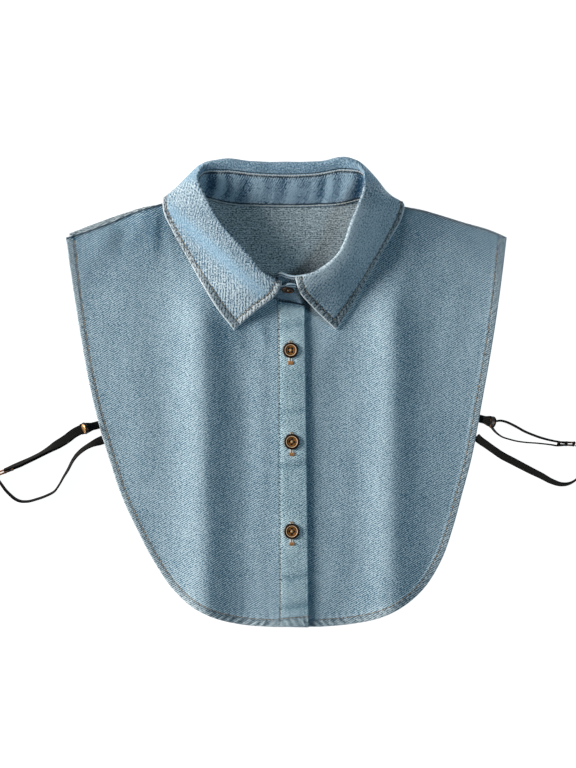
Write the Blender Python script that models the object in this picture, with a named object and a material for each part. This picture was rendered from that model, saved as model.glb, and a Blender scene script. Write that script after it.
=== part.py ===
"""A detachable denim shirt collar, laid flat with its front up.

The garment is a dickey: two fronts and a back with a round hem, and a shirt collar that is
turned down over its stand. A strap loop on each side joins the front to the back under the arm.
Sizes are in millimetres. X runs to the viewer's right, Y from the hem to the collar and Z up.
"Left" and "right" are the viewer's. The origin lies on the resting surface, under the middle of
the cloth's outline.
"""

import math

import bmesh
import bpy
import numpy as np

MM = 0.001

# Cloth
CLOTH = 1.2  # one layer of denim with its turned seam allowances
COLLAR_CLOTH = 1.8  # stand and fall: two layers and an interlining
HEM_FOLD = 0.5  # extra thickness of the turned hem
HEM_WIDTH = 6.0
GAP = 0.3  # between pieces that touch
BACK_INSET = 2.6  # the back stays this far inside the fronts' outline
STEP = 9.0  # usual distance between the points of a panel

# Placket and closure
PLACKET_LEFT = (-6.6, -5.2)  # x at the neck and at the hem
PLACKET_RIGHT = (14.4, 17.6)
UNDERLAP_LEFT = -7.6  # free edge of the right front, under the placket
OVERLAP_RAMP = (-34.0, -17.0)  # the left front climbs onto the right one between these x
NECK_Y, HEM_Y = 69.0, -182.6

# Buttons
BUTTON_DIAMETER = 12.2
STAND_BUTTON_SIZE = 0.8  # of the others
BUTTON_HEIGHT = 2.2
BUTTON_RIM = 1.4
BUTTON_DISH = 0.6
HOLE_DIAMETER = 1.7
HOLE_SPREAD = 1.5  # each hole's centre from the button's two middle lines
PLACKET_BUTTONS = ((3.6, 32.4), (4.6, -38.6), (4.6, -108.2))
STAND_BUTTON = (1.9, 0.74)  # x, and the height on the stand from its seam, 0 to 1

# Straps and their metal
STRAP_WIDTH = 7.2
STRAP_THICK = 1.1
TAB_WIDTH = 6.2
RING_RADIUS = 3.7
RING_WIRE = 1.05
SLIDER_LENGTH = 13.4
SLIDER_WIDTH = 9.0
SLIDER_BAR = 1.3
SLIDER_THICK = 1.3

# Outline of the fronts from the shoulder corner to the middle of the hem: y, left x, right x
OUTLINE = (
    (120.5, -171.7, 172.0),
    (95.0, -168.2, 169.0),
    (45.0, -160.5, 162.0),
    (-5.0, -151.0, 153.3),
    (-55.0, -137.0, 143.8),
    (-80.0, -128.7, 137.1),
    (-105.0, -117.2, 130.3),
    (-130.0, -104.2, 121.5),
    (-154.5, -87.3, 105.9),
    (-167.0, -73.3, 91.0),
    (-176.0, -54.8, 72.0),
    (-181.0, -34.0, 48.5),
    (-182.8, -10.0, 27.0),
)
TURN = 0.70  # share of the outline that counts as the side; the rest is the hem

# Shoulder edges from the corner to the neck point: x, y
SHOULDERS = {
    "left": ((-171.7, 120.5), (-152.0, 127.0), (-137.0, 132.6), (-122.5, 138.8), (-107.5, 143.8),
             (-95.0, 147.1), (-85.0, 149.4), (-75.5, 151.4)),
    "right": ((172.0, 120.5), (160.5, 125.6), (138.0, 132.3), (118.5, 138.2), (105.0, 141.8),
              (93.0, 144.1), (82.0, 146.6), (72.0, 149.4)),
}
BACK_LEFT_SHOULDER = ((-169.5, 123.5), (-150.0, 131.0), (-128.0, 138.9), (-107.5, 144.8),
                      (-95.0, 146.4), (-85.0, 148.8), (-75.5, 151.2))
BACK_RIGHT_SHOULDER = ((169.0, 121.6), (160.5, 125.0), (138.0, 132.0), (118.5, 138.0),
                       (105.0, 141.5), (93.0, 143.2), (82.0, 145.9), (72.0, 149.2))

# Sections of the collar from the left point round the back to the right point.
# seam: where the stand is sewn to the body. joint: share of the way from the seam to the roll
# where the fall is sewn to the stand. roll: top of the fold. side and low: where the fall turns
# down and comes to lie. edge: its outer edge. The two heights "low" and "edge" of a section that
# lies on the front are measured from the front's surface, the others from the resting surface.
COLLAR_COLUMNS = ("seam_x", "seam_y", "joint", "roll_x", "roll_y", "roll_z", "side_x", "side_y",
                  "side_z", "low_x", "low_y", "low_z", "edge_x", "edge_y", "edge_z")
COLLAR = (
    (-6.2, 72.6, .90, -3.2, 83.9, 24.0, -7.2, 76.2, 21.0, -21.8, 64.2, 13.0, -40.3, 48.3, 5.0),
    (-20.0, 77.0, .90, -18.5, 92.6, 25.0, -25.5, 86.5, 23.0, -38.5, 75.5, 13.5, -52.6, 63.9, 5.0),
    (-36.0, 88.0, .90, -30.0, 107.0, 26.5, -38.0, 103.5, 24.6, -52.0, 92.5, 14.0, -64.7, 83.4, 5.0),
    (-48.0, 100.0, .90, -39.5, 117.5, 27.0, -48.5, 117.0, 25.0, -64.5, 111.5, 14.0, -76.7, 104.9, 5.0),
    (-60.0, 118.5, .90, -49.2, 128.4, 27.0, -59.0, 130.0, 24.8, -75.5, 129.5, 14.0, -88.2, 125.6, 5.0),
    (-69.5, 140.0, .90, -60.2, 145.8, 26.5, -71.5, 148.5, 22.3, -86.0, 147.7, 13.3, -95.2, 142.0, 6.5),
    (-73.3, 146.5, .91, -64.3, 153.5, 25.5, -76.0, 155.5, 20.3, -87.2, 153.8, 12.0, -95.6, 148.9, 7.2),
    (-74.5, 150.5, .90, -68.0, 162.5, 24.0, -78.6, 160.6, 16.5, -86.8, 156.6, 7.6, -94.2, 151.2, 3.4),
    (-69.5, 151.5, .90, -65.8, 171.6, 20.0, -70.8, 172.0, 12.0, -78.5, 163.5, 1.9, -88.0, 148.5, 0.9),
    (-45.0, 146.0, .84, -49.5, 177.8, 16.5, -52.0, 179.8, 9.5, -55.0, 170.5, 0.9, -64.0, 140.5, 0.9),
    (-23.0, 144.4, .82, -24.0, 176.3, 15.0, -25.0, 178.4, 8.3, -26.0, 170.5, 0.9, -30.0, 136.2, 0.9),
    (0.0, 144.0, .81, 0.0, 175.6, 14.5, 0.0, 177.8, 8.0, 0.0, 170.5, 0.9, 0.0, 135.0, 0.9),
    (23.0, 144.4, .82, 24.0, 176.3, 15.0, 25.0, 178.4, 8.3, 26.0, 170.5, 0.9, 30.0, 136.2, 0.9),
    (44.0, 146.0, .84, 47.5, 179.0, 16.5, 49.5, 181.0, 9.5, 52.0, 171.5, 0.9, 63.0, 140.5, 0.9),
    (66.5, 151.0, .88, 59.5, 171.8, 20.0, 64.0, 171.3, 12.0, 71.0, 162.5, 1.9, 82.0, 147.0, 0.9),
    (71.5, 149.0, .88, 60.8, 160.0, 24.0, 72.0, 158.6, 16.5, 80.6, 152.4, 8.0, 89.6, 147.4, 3.4),
    (70.0, 145.0, .89, 59.2, 152.5, 25.5, 71.0, 152.2, 21.0, 83.2, 149.8, 12.2, 91.8, 145.4, 7.2),
    (68.5, 139.0, .90, 55.8, 144.0, 26.5, 64.5, 144.3, 23.3, 79.0, 140.8, 13.8, 90.2, 136.4, 6.0),
    (64.0, 124.0, .90, 50.0, 129.0, 27.0, 58.0, 128.3, 24.7, 70.5, 122.5, 14.0, 79.4, 116.7, 5.0),
    (53.5, 109.0, .90, 43.4, 111.5, 27.0, 51.0, 109.0, 25.0, 61.0, 103.0, 14.5, 68.5, 97.3, 5.0),
    (41.0, 95.0, .90, 32.9, 99.0, 26.0, 39.5, 95.0, 24.0, 50.0, 86.0, 14.2, 57.2, 77.8, 5.0),
    (27.0, 83.0, .90, 19.6, 91.0, 24.5, 25.0, 86.5, 22.8, 37.0, 75.5, 13.6, 48.0, 62.3, 5.0),
    (8.6, 73.5, .90, 7.4, 87.6, 23.5, 10.0, 78.8, 21.2, 20.5, 66.2, 13.0, 38.8, 48.5, 5.0),
)
UNDER_FROM = 3  # the stand leaves the fall this many of its closer sections before the right point
HIDDEN_EDGE = slice(8, 15)  # the sections whose edge lies under the back

# Ends of the stand beyond the fall: seam x, seam y, seam height, top x, top y, top height
OVER_END = (  # buttoned over, from its tip to the left point; height above the placket
    (13.4, 68.3, 1.3, 9.6, 78.5, 17.0),
    (9.5, 69.2, 1.3, 6.0, 82.4, 22.3),
    (4.4, 70.8, 1.3, 2.6, 83.2, 23.4),
)
UNDER_END = (  # from the right point to its tip inside the neck
    (12.5, 76.0, 6.2, 13.0, 90.6, 20.5),
    (7.0, 76.5, 6.0, 7.0, 89.8, 20.0),
    (1.0, 77.5, 6.0, 1.5, 90.8, 19.0),
    (-4.5, 79.0, 6.4, -4.5, 92.8, 18.0),
    (-8.0, 81.5, 8.5, -7.0, 91.5, 16.0),
)

# Folds of the fronts, as ridges that run down the cloth
FOLD_COLUMNS = ("top_x", "start_y", "full_y", "end_x", "end_y", "height", "end_height",
                "left_width", "right_width")
FOLDS = (
    (-71.0, 112.0, 52.0, -67.0, -175.0, 8.6, 7.2, 14.0, 17.0),
    (83.0, 118.0, 58.0, 81.0, -170.0, 7.6, 5.4, 13.0, 14.0),
    (3.0, 74.0, 20.0, 6.0, -182.0, 2.8, 2.2, 20.0, 19.0),
    (-109.0, 152.0, 138.0, -103.0, 84.0, 2.6, 0.0, 12.0, 9.0),
    (-143.0, 132.0, 124.0, -137.0, 102.0, 1.5, 0.0, 9.0, 7.0),
    (98.0, 152.0, 136.0, 94.0, 66.0, 2.6, 0.0, 12.0, 20.0),
)

# Strap routes from the collar outwards: x, y and the turn of the band in degrees, 0 flat and 90
# on its edge.
LEFT_RUN = (
    (-159.7, -29.4, 4), (-165.2, -32.6, 12), (-171.8, -37.4, 20), (-177.8, -41.2, 30),
    (-183.8, -45.1, 56), (-189.8, -48.7, 68), (-195.8, -51.8, 72), (-201.8, -54.6, 75),
    (-207.2, -57.0, 79), (-211.8, -58.9, 83),
)
LEFT_LONG = (
    (-142.6, -37.2, 0), (-145.2, -38.2, 6), (-149.0, -39.6, 36), (-153.3, -41.7, 54),
    (-158.7, -45.2, 62), (-163.2, -49.4, 66), (-166.3, -53.8, 70), (-169.6, -60.2, 73),
    (-173.2, -66.2, 77), (-177.2, -73.2, 80), (-180.0, -77.0, 82), (-187.0, -80.9, 83),
    (-193.4, -83.2, 84), (-202.2, -85.3, 85), (-207.0, -85.0, 85), (-211.0, -83.2, 85),
    (-214.9, -79.9, 85), (-218.3, -76.4, 85), (-221.0, -72.7, 85), (-223.6, -68.9, 86),
    (-225.2, -66.4, 86), (-225.9, -64.0, 86),
)
RIGHT_RUN = (
    (163.8, -22.6, 84), (167.2, -22.3, 86), (171.2, -23.2, 86), (175.2, -24.9, 86),
    (180.5, -27.7, 86), (185.6, -30.6, 86), (191.0, -32.9, 86), (196.3, -34.9, 86),
    (204.3, -37.2, 86), (211.1, -38.6, 86),
)
RIGHT_RETURN = (
    (160.9, -28.4, 84), (163.2, -31.2, 86), (168.0, -34.8, 88), (173.2, -36.6, 88),
    (179.4, -38.2, 88), (185.6, -39.1, 88), (196.3, -39.9, 88), (206.7, -41.1, 87),
    (211.1, -41.8, 86),
)
RIGHT_LONG = (
    (148.0, -34.7, 0), (150.4, -37.0, 0), (155.6, -40.7, 26), (162.2, -45.4, 36),
    (168.8, -49.8, 38), (175.5, -53.3, 38), (183.5, -57.5, 40), (191.0, -61.4, 43),
    (198.9, -65.3, 48), (206.7, -69.5, 55), (214.7, -71.9, 64), (220.0, -71.4, 70),
    (224.2, -69.4, 75), (227.6, -66.4, 78), (230.3, -61.9, 82), (231.2, -56.2, 84),
    (230.2, -50.2, 86), (228.2, -45.0, 86), (225.6, -41.6, 86),
)
LEFT_TAB = ((-144.2, -25.1), (-154.7, -27.8))
RIGHT_TAB = ((149.6, -20.4), (157.8, -22.5))

# Rings and sliders: x, y, heading of the strap there, and lean of the piece, in degrees
RINGS = {"left": (-156.6, -28.2, 197.0, 62.0), "right": (160.6, -23.6, -14.0, -62.0)}
SLIDERS = {"left": (-218.4, -61.4, 201.0, 74.0), "right": (218.1, -40.2, -2.0, 70.0)}


# ---------------------------------------------------------------- numbers and curves
def ease(share):
    """0 below 0, 1 above 1, and a smooth step between."""
    share = np.clip(share, 0.0, 1.0)
    return share * share * (3.0 - 2.0 * share)


def column(table, columns, name):
    return np.array([row[columns.index(name)] for row in table], float)


def along(knots, values, at):
    """A smooth curve that passes through values at knots, read at the places in at."""
    knots, values, at = (np.asarray(a, float) for a in (knots, values, at))
    flat = values.ndim == 1
    values = values.reshape(len(knots), -1)
    step = np.diff(knots)
    slope = np.diff(values, axis=0) / step[:, None]
    tangent = np.empty_like(values)
    tangent[0], tangent[-1] = slope[0], slope[-1]
    before, after = step[:-1, None], step[1:, None]
    tangent[1:-1] = (slope[:-1] * after + slope[1:] * before) / (before + after)
    i = np.clip(np.searchsorted(knots, at, side="right") - 1, 0, len(step) - 1)
    h = step[i][:, None]
    t = ((at - knots[i]) / step[i])[:, None]
    found = (
        values[i] * (1 + 2 * t) * (1 - t) ** 2
        + tangent[i] * h * t * (1 - t) ** 2
        + values[i + 1] * t * t * (3 - 2 * t)
        + tangent[i + 1] * h * t * t * (t - 1)
    )
    return found[:, 0] if flat else found


def lengths(points):
    points = np.asarray(points, float)
    return np.concatenate([[0.0], np.cumsum(np.linalg.norm(np.diff(points, axis=0), axis=1))])


def fine_curve(points, per_span=16):
    """Many points on the smooth curve through points."""
    points = np.asarray(points, float)
    knots = lengths(points)
    spans = len(knots) - 1
    at = np.interp(np.linspace(0, spans, spans * per_span + 1), np.arange(spans + 1), knots)
    return along(knots, points, at)


def read(points, shares):
    """The points at these shares of a line's length."""
    points = np.asarray(points, float)
    far = lengths(points)
    at = np.asarray(shares) * far[-1]
    return np.stack([np.interp(at, far, points[:, k]) for k in range(points.shape[1])], axis=1)


# ---------------------------------------------------------------- heights of the layers
def folds(x, y):
    """Height of the fronts' folds."""
    total = np.zeros(np.broadcast(x, y).shape)
    for row in FOLDS:
        f = dict(zip(FOLD_COLUMNS, row, strict=True))
        down = (f["start_y"] - y) / (f["start_y"] - f["end_y"])
        middle = f["top_x"] + (f["end_x"] - f["top_x"]) * np.clip(down, 0, 1)
        rise = ease((f["start_y"] - y) / (f["start_y"] - f["full_y"]))
        fall = np.clip((f["full_y"] - y) / (f["full_y"] - f["end_y"]), 0, 1)
        height = rise * (f["height"] + (f["end_height"] - f["height"]) * fall)
        width = np.where(x < middle, f["left_width"], f["right_width"])
        total = total + height * np.exp(-0.5 * ((x - middle) / width) ** 2)
    return total


def hidden_edge(x):
    """The y of the fall's edge where it lies under the back."""
    rows = COLLAR[HIDDEN_EDGE]
    return np.interp(x, column(rows, COLLAR_COLUMNS, "edge_x"), column(rows, COLLAR_COLUMNS, "edge_y"))


def back_under(x, y):
    """Underside of the back: flat, but for where it lies on the fall's hidden part."""
    over_fall = ease((y - hidden_edge(x) + 36.0) / 32.0) * ease((128.0 - np.abs(x)) / 26.0)
    return (COLLAR_CLOTH + GAP + 0.1) * over_fall


def front_under(x, y, side):
    """Underside of a front. The left one climbs over the right one's underlap."""
    lift = ease((x - OVERLAP_RAMP[0]) / (OVERLAP_RAMP[1] - OVERLAP_RAMP[0])) * (side == "left")
    over_back = back_under(x, y)
    return over_back * 1.35 + folds(x, y) + (CLOTH + GAP) * (1 + lift)


def front_top(x, y, side):
    return front_under(x, y, side) + CLOTH


def placket_top(x, y):
    return front_top(x, y, "left") + GAP + CLOTH


# ---------------------------------------------------------------- making objects
def material(name, colour, roughness, metallic=0.0):
    made = bpy.data.materials.new(name)
    made.use_nodes = True
    shader = made.node_tree.nodes["Principled BSDF"]
    shader.inputs["Base Color"].default_value = (*colour, 1.0)
    shader.inputs["Roughness"].default_value = roughness
    shader.inputs["Metallic"].default_value = metallic
    return made


def add(name, bm, finish, smooth=True):
    """Make an object of a bmesh whose points are in millimetres."""
    bmesh.ops.scale(bm, vec=(MM, MM, MM), verts=bm.verts)
    bmesh.ops.recalc_face_normals(bm, faces=bm.faces)
    mesh = bpy.data.meshes.new(name)
    bm.to_mesh(mesh)
    bm.free()
    if smooth:
        mesh.shade_smooth()
        mesh.set_sharp_from_angle(angle=math.radians(50))
    mesh.materials.append(finish)
    made = bpy.data.objects.new(name, mesh)
    bpy.context.scene.collection.objects.link(made)
    return made


def wall(name, upper, lower, finish):
    """One closed wall between two grids of points with the same rows and columns."""
    bm = bmesh.new()
    rows, columns = upper.shape[:2]
    sheets = [[[bm.verts.new(p) for p in line] for line in grid] for grid in (upper, lower)]
    for sheet in sheets:
        for r in range(rows - 1):
            for c in range(columns - 1):
                bm.faces.new((sheet[r][c], sheet[r][c + 1], sheet[r + 1][c + 1], sheet[r + 1][c]))
    rim = (
        [(0, c) for c in range(columns)]
        + [(r, columns - 1) for r in range(1, rows)]
        + [(rows - 1, c) for c in range(columns - 2, -1, -1)]
        + [(r, 0) for r in range(rows - 2, 0, -1)]
    )
    top, bottom = sheets
    for (r, c), (r2, c2) in zip(rim, rim[1:] + rim[:1], strict=True):
        bm.faces.new((top[r][c], top[r2][c2], bottom[r2][c2], bottom[r][c]))
    return add(name, bm, finish)


def thickened(grid, thick):
    """The two faces of a wall whose middle surface is grid."""
    across = np.gradient(grid, axis=1)
    down = np.gradient(grid, axis=0)
    normal = np.cross(across, down)
    normal /= np.linalg.norm(normal, axis=2, keepdims=True)
    return grid + normal * thick / 2, grid - normal * thick / 2


def patch(top, bottom, left, right, across, down):
    """Points that fill the space between four edges, at the given shares across and down."""
    top, bottom = read(top, across), read(bottom, across)
    left, right = read(left, down), read(right, down)
    s, t = across[None, :, None], down[:, None, None]
    corners = (
        (1 - s) * (1 - t) * top[0] + s * (1 - t) * top[-1]
        + (1 - s) * t * bottom[0] + s * t * bottom[-1]
    )
    return (
        (1 - t) * top[None] + t * bottom[None]
        + (1 - s) * left[:, None] + s * right[:, None] - corners
    )


# ---------------------------------------------------------------- body panels
def side_and_hem(side):
    """The outline of one front below the shoulder, as its side and its half of the hem."""
    x = 1 if side == "left" else 2
    middle = PLACKET_RIGHT[1] if side == "left" else UNDERLAP_LEFT
    line = fine_curve([(row[x], row[0]) for row in OUTLINE])
    line = np.vstack([line, [(middle, HEM_Y)]])
    shares = lengths(line) / lengths(line)[-1]
    cut = int(np.searchsorted(shares, TURN))
    return line[: cut + 1], line[cut:]


def seam_points(side):
    """The seam of the stand on one front, from the neck point to the middle front."""
    rows = COLLAR[:8][::-1] if side == "left" else COLLAR[15:]
    points = [(row[0], row[1]) for row in rows]
    ends = {"left": [(4.4, 70.6), (PLACKET_RIGHT[0] - 0.8, 68.2)], "right": [(0.0, 71.6), (UNDERLAP_LEFT, 72.6)]}
    return points + ends[side]


def hem_thickness(across, down, wide, long, hem_sides):
    """Thickness of a panel: more inside the turned hem, at its edges named in hem_sides."""
    near = np.full((len(down), len(across)), 1e3)
    if "start" in hem_sides:
        near = np.minimum(near, across[None, :] * wide)
    if "end" in hem_sides:
        near = np.minimum(near, (1 - across[None, :]) * wide)
    near = np.minimum(near, (1 - down[:, None]) * long)
    return CLOTH + HEM_FOLD * (1 - ease((near - HEM_WIDTH) / 3.0))


def shares_for(long, count, hem_at_start, hem_at_end):
    """Even shares of a length, with one point more at each hem's inner edge."""
    even = np.linspace(0, 1, count + 1)
    inner = (HEM_WIDTH + 1.0) / long
    extra = [inner] * hem_at_start + [1 - inner] * hem_at_end
    kept = [s for s in even if all(abs(s - e) > 0.4 / count for e in extra) or s in (0.0, 1.0)]
    return np.array(sorted(kept + extra))


def front(side, finish):
    side_edge, hem = side_and_hem(side)
    shoulder = fine_curve(SHOULDERS[side])
    neckline = fine_curve(seam_points(side))
    neckline[0] = shoulder[-1]
    top = np.vstack([shoulder, neckline[1:]])
    middle = [top[-1], hem[-1]]
    wide, long = lengths(top)[-1], 0.5 * (lengths(side_edge)[-1] + lengths(middle)[-1])
    neck_at = lengths(shoulder)[-1] / wide
    before = shares_for(wide * neck_at, round(wide * neck_at / STEP), True, False) * neck_at
    after = neck_at + np.linspace(0, 1, round(wide * (1 - neck_at) / STEP) + 1) * (1 - neck_at)
    across = np.concatenate([before, after[1:]])
    down = shares_for(long, round(long / 18.0), False, True)
    down = np.sort(np.concatenate([down, 0.5 * (down[:3] + down[1:4])]))
    flat = patch(top, hem, side_edge, middle, across, down)
    x, y = flat[..., 0], flat[..., 1]
    under = front_under(x, y, side)
    thick = hem_thickness(across, down, wide, long, ("start",))
    in_overlap = ease((x + 16.0) / 6.0) * (side == "right") + ease((x + 14.0) / 6.0) * (side == "left")
    thick = thick - (thick - CLOTH) * in_overlap * (x < 20.0)
    return wall(f"front_{side}", np.dstack([x, y, under + thick]), np.dstack([x, y, under]), finish)


def inset(line, by):
    """A line moved sideways, towards the middle of the garment."""
    line = np.asarray(line, float)
    ahead = np.gradient(line, axis=0)
    normal = np.stack([-ahead[:, 1], ahead[:, 0]], axis=1)
    normal /= np.linalg.norm(normal, axis=1, keepdims=True)
    inwards = np.sign(np.sum(normal * -line, axis=1, keepdims=True))
    return line + normal * inwards * by


def back(finish):
    """The back, a little smaller than the fronts all round, its neck sewn to the stand."""
    shoulders = [fine_curve(line) for line in (BACK_LEFT_SHOULDER, BACK_RIGHT_SHOULDER)]
    sides, hems = [], []
    for side, shoulder in zip(("left", "right"), shoulders, strict=True):
        edge, hem = (inset(line, BACK_INSET) for line in side_and_hem(side))
        sides.append(fine_curve([shoulder[0], *edge[12::12], edge[-1]]))
        own_half = hem[:, 0] < -2 if side == "left" else hem[:, 0] > 2
        hems.append(np.vstack([edge[-1:], hem[own_half][1:]]))
    hem = np.vstack([hems[0], hems[1][::-1]])
    neck_points = [(row[0], row[1]) for row in COLLAR[HIDDEN_EDGE]]
    neck = fine_curve([shoulders[0][-1], *neck_points, shoulders[1][-1]])
    top = np.vstack([shoulders[0], neck[1:], shoulders[1][::-1][1:]])
    across = np.linspace(0, 1, 31)
    down = np.array([0.0, 0.03, 0.06, 0.1, 0.15, 0.2, 0.27, 0.36, 0.48, 0.6, 0.72, 0.84, 0.93, 1.0])
    flat = patch(top, hem, sides[0], sides[1], across, down)
    x, y = flat[..., 0], flat[..., 1]
    under = back_under(x, y)
    return wall("back_panel", np.dstack([x, y, under + CLOTH]), np.dstack([x, y, under]), finish)


def placket(finish):
    """The folded strip that carries the buttonholes, on the left front."""
    down = np.linspace(0, 1, 22)
    across = np.linspace(0, 1, 4)
    top = [(PLACKET_LEFT[0], 71.6), (4.0, 70.2), (PLACKET_RIGHT[0], 67.9)]
    bottom = [(PLACKET_LEFT[1], HEM_Y + 0.2), (PLACKET_RIGHT[1], HEM_Y - 0.4)]
    flat = patch(fine_curve(top), bottom, [top[0], bottom[0]], [top[-1], bottom[-1]], across, down)
    x, y = flat[..., 0], flat[..., 1]
    upper = placket_top(x, y) + 0.1
    return wall("placket", np.dstack([x, y, upper]), np.dstack([x, y, upper - CLOTH]), finish)


# ---------------------------------------------------------------- collar
def seam_height(row_number):
    """Height of the stand's lower edge, just above the piece that it is sewn to."""
    x, y = COLLAR[row_number][:2]
    if row_number < 8:
        on_placket = ease((x + 17.0) / 9.0) * (GAP + CLOTH)
        return float(front_top(x, y, "left") + on_placket) + 1.3
    if row_number < 15:
        return float(back_under(x, y) + CLOTH) + 1.3
    return float(front_top(x, y, "right")) + 1.3


def collar_controls():
    """For each section: seam, joint, roll, side, low and edge, as an array of points."""
    sections = []
    for i, row in enumerate(COLLAR):
        c = dict(zip(COLLAR_COLUMNS, row, strict=True))
        seam = np.array([c["seam_x"], c["seam_y"], seam_height(i)])
        roll, side, low, edge = (
            np.array([c[f"{p}_x"], c[f"{p}_y"], c[f"{p}_z"]]) for p in ("roll", "side", "low", "edge")
        )
        sections.append([seam, seam + (roll - seam) * c["joint"], roll, side, low, edge])
    return np.array(sections)


def blend_sections(sections, step):
    """Sections between the given ones, about a step apart."""
    spacing = np.linalg.norm(np.diff(sections, axis=0), axis=2).mean(axis=1)
    knots = np.concatenate([[0.0], np.cumsum(spacing)])
    places = [knots[0]]
    for start, end in zip(knots[:-1], knots[1:], strict=True):
        count = max(1, round((end - start) / step))
        places += [start + (end - start) * (k + 1) / count for k in range(count)]
    flat = along(knots, sections.reshape(len(sections), -1), places)
    return flat.reshape(len(places), *sections.shape[1:])


def across_section(controls, parts):
    """Points on the smooth line through one section's controls, parts of them in each span."""
    knots = lengths(controls)
    at = [knots[0]]
    for start, end, count in zip(knots[:-1], knots[1:], parts, strict=True):
        at += [start + (end - start) * (k + 1) / count for k in range(count)]
    return along(knots, controls, at)


def rest_on_fronts(grid):
    """Lift what would lie in a front, so that the fall rests on the cloth below it."""
    x, y = grid[..., 0], grid[..., 1]
    clear = COLLAR_CLOTH / 2 + 0.7
    on_left = np.maximum(front_top(x, y, "left"), 0) + clear
    on_right = front_top(x, y, "right") + clear
    lowest = np.where(x < 0, on_left, on_right)
    inside = (grid[..., 2] > 4.4) & (y < 147.5)
    grid[..., 2] = np.where(inside, np.maximum(grid[..., 2], lowest), grid[..., 2])
    return grid


def collar_fall(sections, finish):
    grid = np.array([across_section(s, (2, 2, 3, 3)) for s in sections[:, 1:]])
    grid[..., 2] = np.maximum(grid[..., 2], COLLAR_CLOTH / 2)
    upper, lower = thickened(rest_on_fronts(grid), COLLAR_CLOTH)
    for face in (upper, lower):
        face[..., 2] = np.maximum(face[..., 2], 0.0)
    return wall("collar_fall", upper, lower, finish)


def stand_lines(sections):
    """The stand's lower and upper line, from the tip that is buttoned over to the tip below."""
    seam, joint = sections[:, 0], sections[:, 1]
    up = (joint - seam) / np.linalg.norm(joint - seam, axis=1, keepdims=True)
    round_neck = np.stack([seam, joint - up * (GAP + 0.6)], axis=1)
    over = [
        [(x, y, float(placket_top(x, y)) + above), (top_x, top_y, top_z)]
        for x, y, above, top_x, top_y, top_z in OVER_END
    ]
    under = [[(x, y, z), (top_x, top_y, top_z)] for x, y, z, top_x, top_y, top_z in UNDER_END]
    start = blend_sections(np.array([*over, *round_neck[:2]]), 5.0)
    start = start[start[:, 0, 0] > round_neck[0, 0, 0] + 1.0]
    last = len(round_neck) - UNDER_FROM
    end = blend_sections(np.array([*round_neck[last - 2 : last], *under]), 5.0)
    end = end[end[:, 0, 0] < round_neck[last - 1, 0, 0] - 1.0]
    return np.concatenate([start, round_neck[:last], end])


def collar_stand(sections, finish):
    lines = stand_lines(sections)
    rise = np.linspace(0, 1, 4)[None, :, None]
    grid = lines[:, :1] * (1 - rise) + lines[:, 1:] * rise
    return wall("collar_stand", *thickened(grid, COLLAR_CLOTH), finish)


# ---------------------------------------------------------------- buttons
def ring_of(bm, radius, z, count):
    turn = 2 * math.pi / count
    return [bm.verts.new((radius * math.cos(k * turn), radius * math.sin(k * turn), z)) for k in range(count)]


def turned(profile, count):
    """A closed body turned round Z from (radius, height) pairs that start and end on its axis."""
    bm = bmesh.new()
    rings = [ring_of(bm, r, z, count) for r, z in profile]
    for low, high in zip(rings[:-1], rings[1:], strict=True):
        for k in range(count):
            n = (k + 1) % count
            bm.faces.new((low[k], low[n], high[n], high[k]))
    bm.faces.new(rings[0][::-1])
    bm.faces.new(rings[-1])
    return bm


def place(made, at, up):
    """Put an object at a point in millimetres with its Z axis along up."""
    import mathutils

    made.location = [v * MM for v in at]
    made.rotation_mode = "QUATERNION"
    made.rotation_quaternion = mathutils.Vector(up).to_track_quat("Z", "Y")


def button(name, at, up, finish, size=1.0):
    """A four-hole button with a raised rim, its flat back just above the cloth at a point."""
    r, h = BUTTON_DIAMETER / 2, BUTTON_HEIGHT
    profile = [(r - 0.8, 0), (r, 0.8), (r, h - 0.4), (r - 0.4, h), (r - BUTTON_RIM, h - 0.1),
               (r - BUTTON_RIM - 0.6, h - BUTTON_DISH)]
    made = add(name, turned(profile, 18), finish)
    cutter_bm = bmesh.new()
    for sx in (-1, 1):
        for sy in (-1, 1):
            start = len(cutter_bm.verts)
            bmesh.ops.create_cone(cutter_bm, cap_ends=True, segments=6, radius1=HOLE_DIAMETER / 2,
                                  radius2=HOLE_DIAMETER / 2, depth=3 * h)
            cutter_bm.verts.ensure_lookup_table()
            bmesh.ops.translate(cutter_bm, vec=(sx * HOLE_SPREAD, sy * HOLE_SPREAD, 0),
                                verts=cutter_bm.verts[start:])
    cutter = add(f"{name}_holes", cutter_bm, finish, smooth=False)
    cutter.hide_render = True
    cutter.display_type = "WIRE"
    cutter.parent = made
    cut = made.modifiers.new("thread holes", "BOOLEAN")
    cut.operation = "DIFFERENCE"
    cut.object = cutter
    up = np.asarray(up, float) / np.linalg.norm(up)
    made.scale = (size, size, size)
    place(made, np.asarray(at, float) + up * GAP, up)
    return made


def placket_normal(x, y):
    d = 1.0
    slope_x = (placket_top(x + d, y) - placket_top(x - d, y)) / (2 * d)
    slope_y = (placket_top(x, y + d) - placket_top(x, y - d)) / (2 * d)
    return np.array([-slope_x, -slope_y, 1.0])


def buttons(sections, finish):
    for number, (x, y) in enumerate(PLACKET_BUTTONS, start=1):
        x, y = np.float64(x), np.float64(y)
        button(f"button_{number}", (x, y, float(placket_top(x, y)) + 0.15), placket_normal(x, y), finish)
    x, share = STAND_BUTTON
    lines = stand_lines(sections)
    end = lines[:8]
    end = end[end[:, 0, 0] > -8.0][::-1]
    line = end[:, 0] * (1 - share) + end[:, 1] * share
    at = np.array([np.interp(x, line[:, 0], line[:, k]) for k in range(3)])
    outwards = np.cross(line[-1] - line[0], end[1, 1] - end[1, 0])
    outwards *= np.sign(outwards[2]) / np.linalg.norm(outwards)
    outwards += (0.0, -0.14, -0.02)  # it hangs a little from its thread
    button("button_stand", at + outwards * (COLLAR_CLOTH / 2 + 0.75), outwards, finish, STAND_BUTTON_SIZE)


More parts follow.
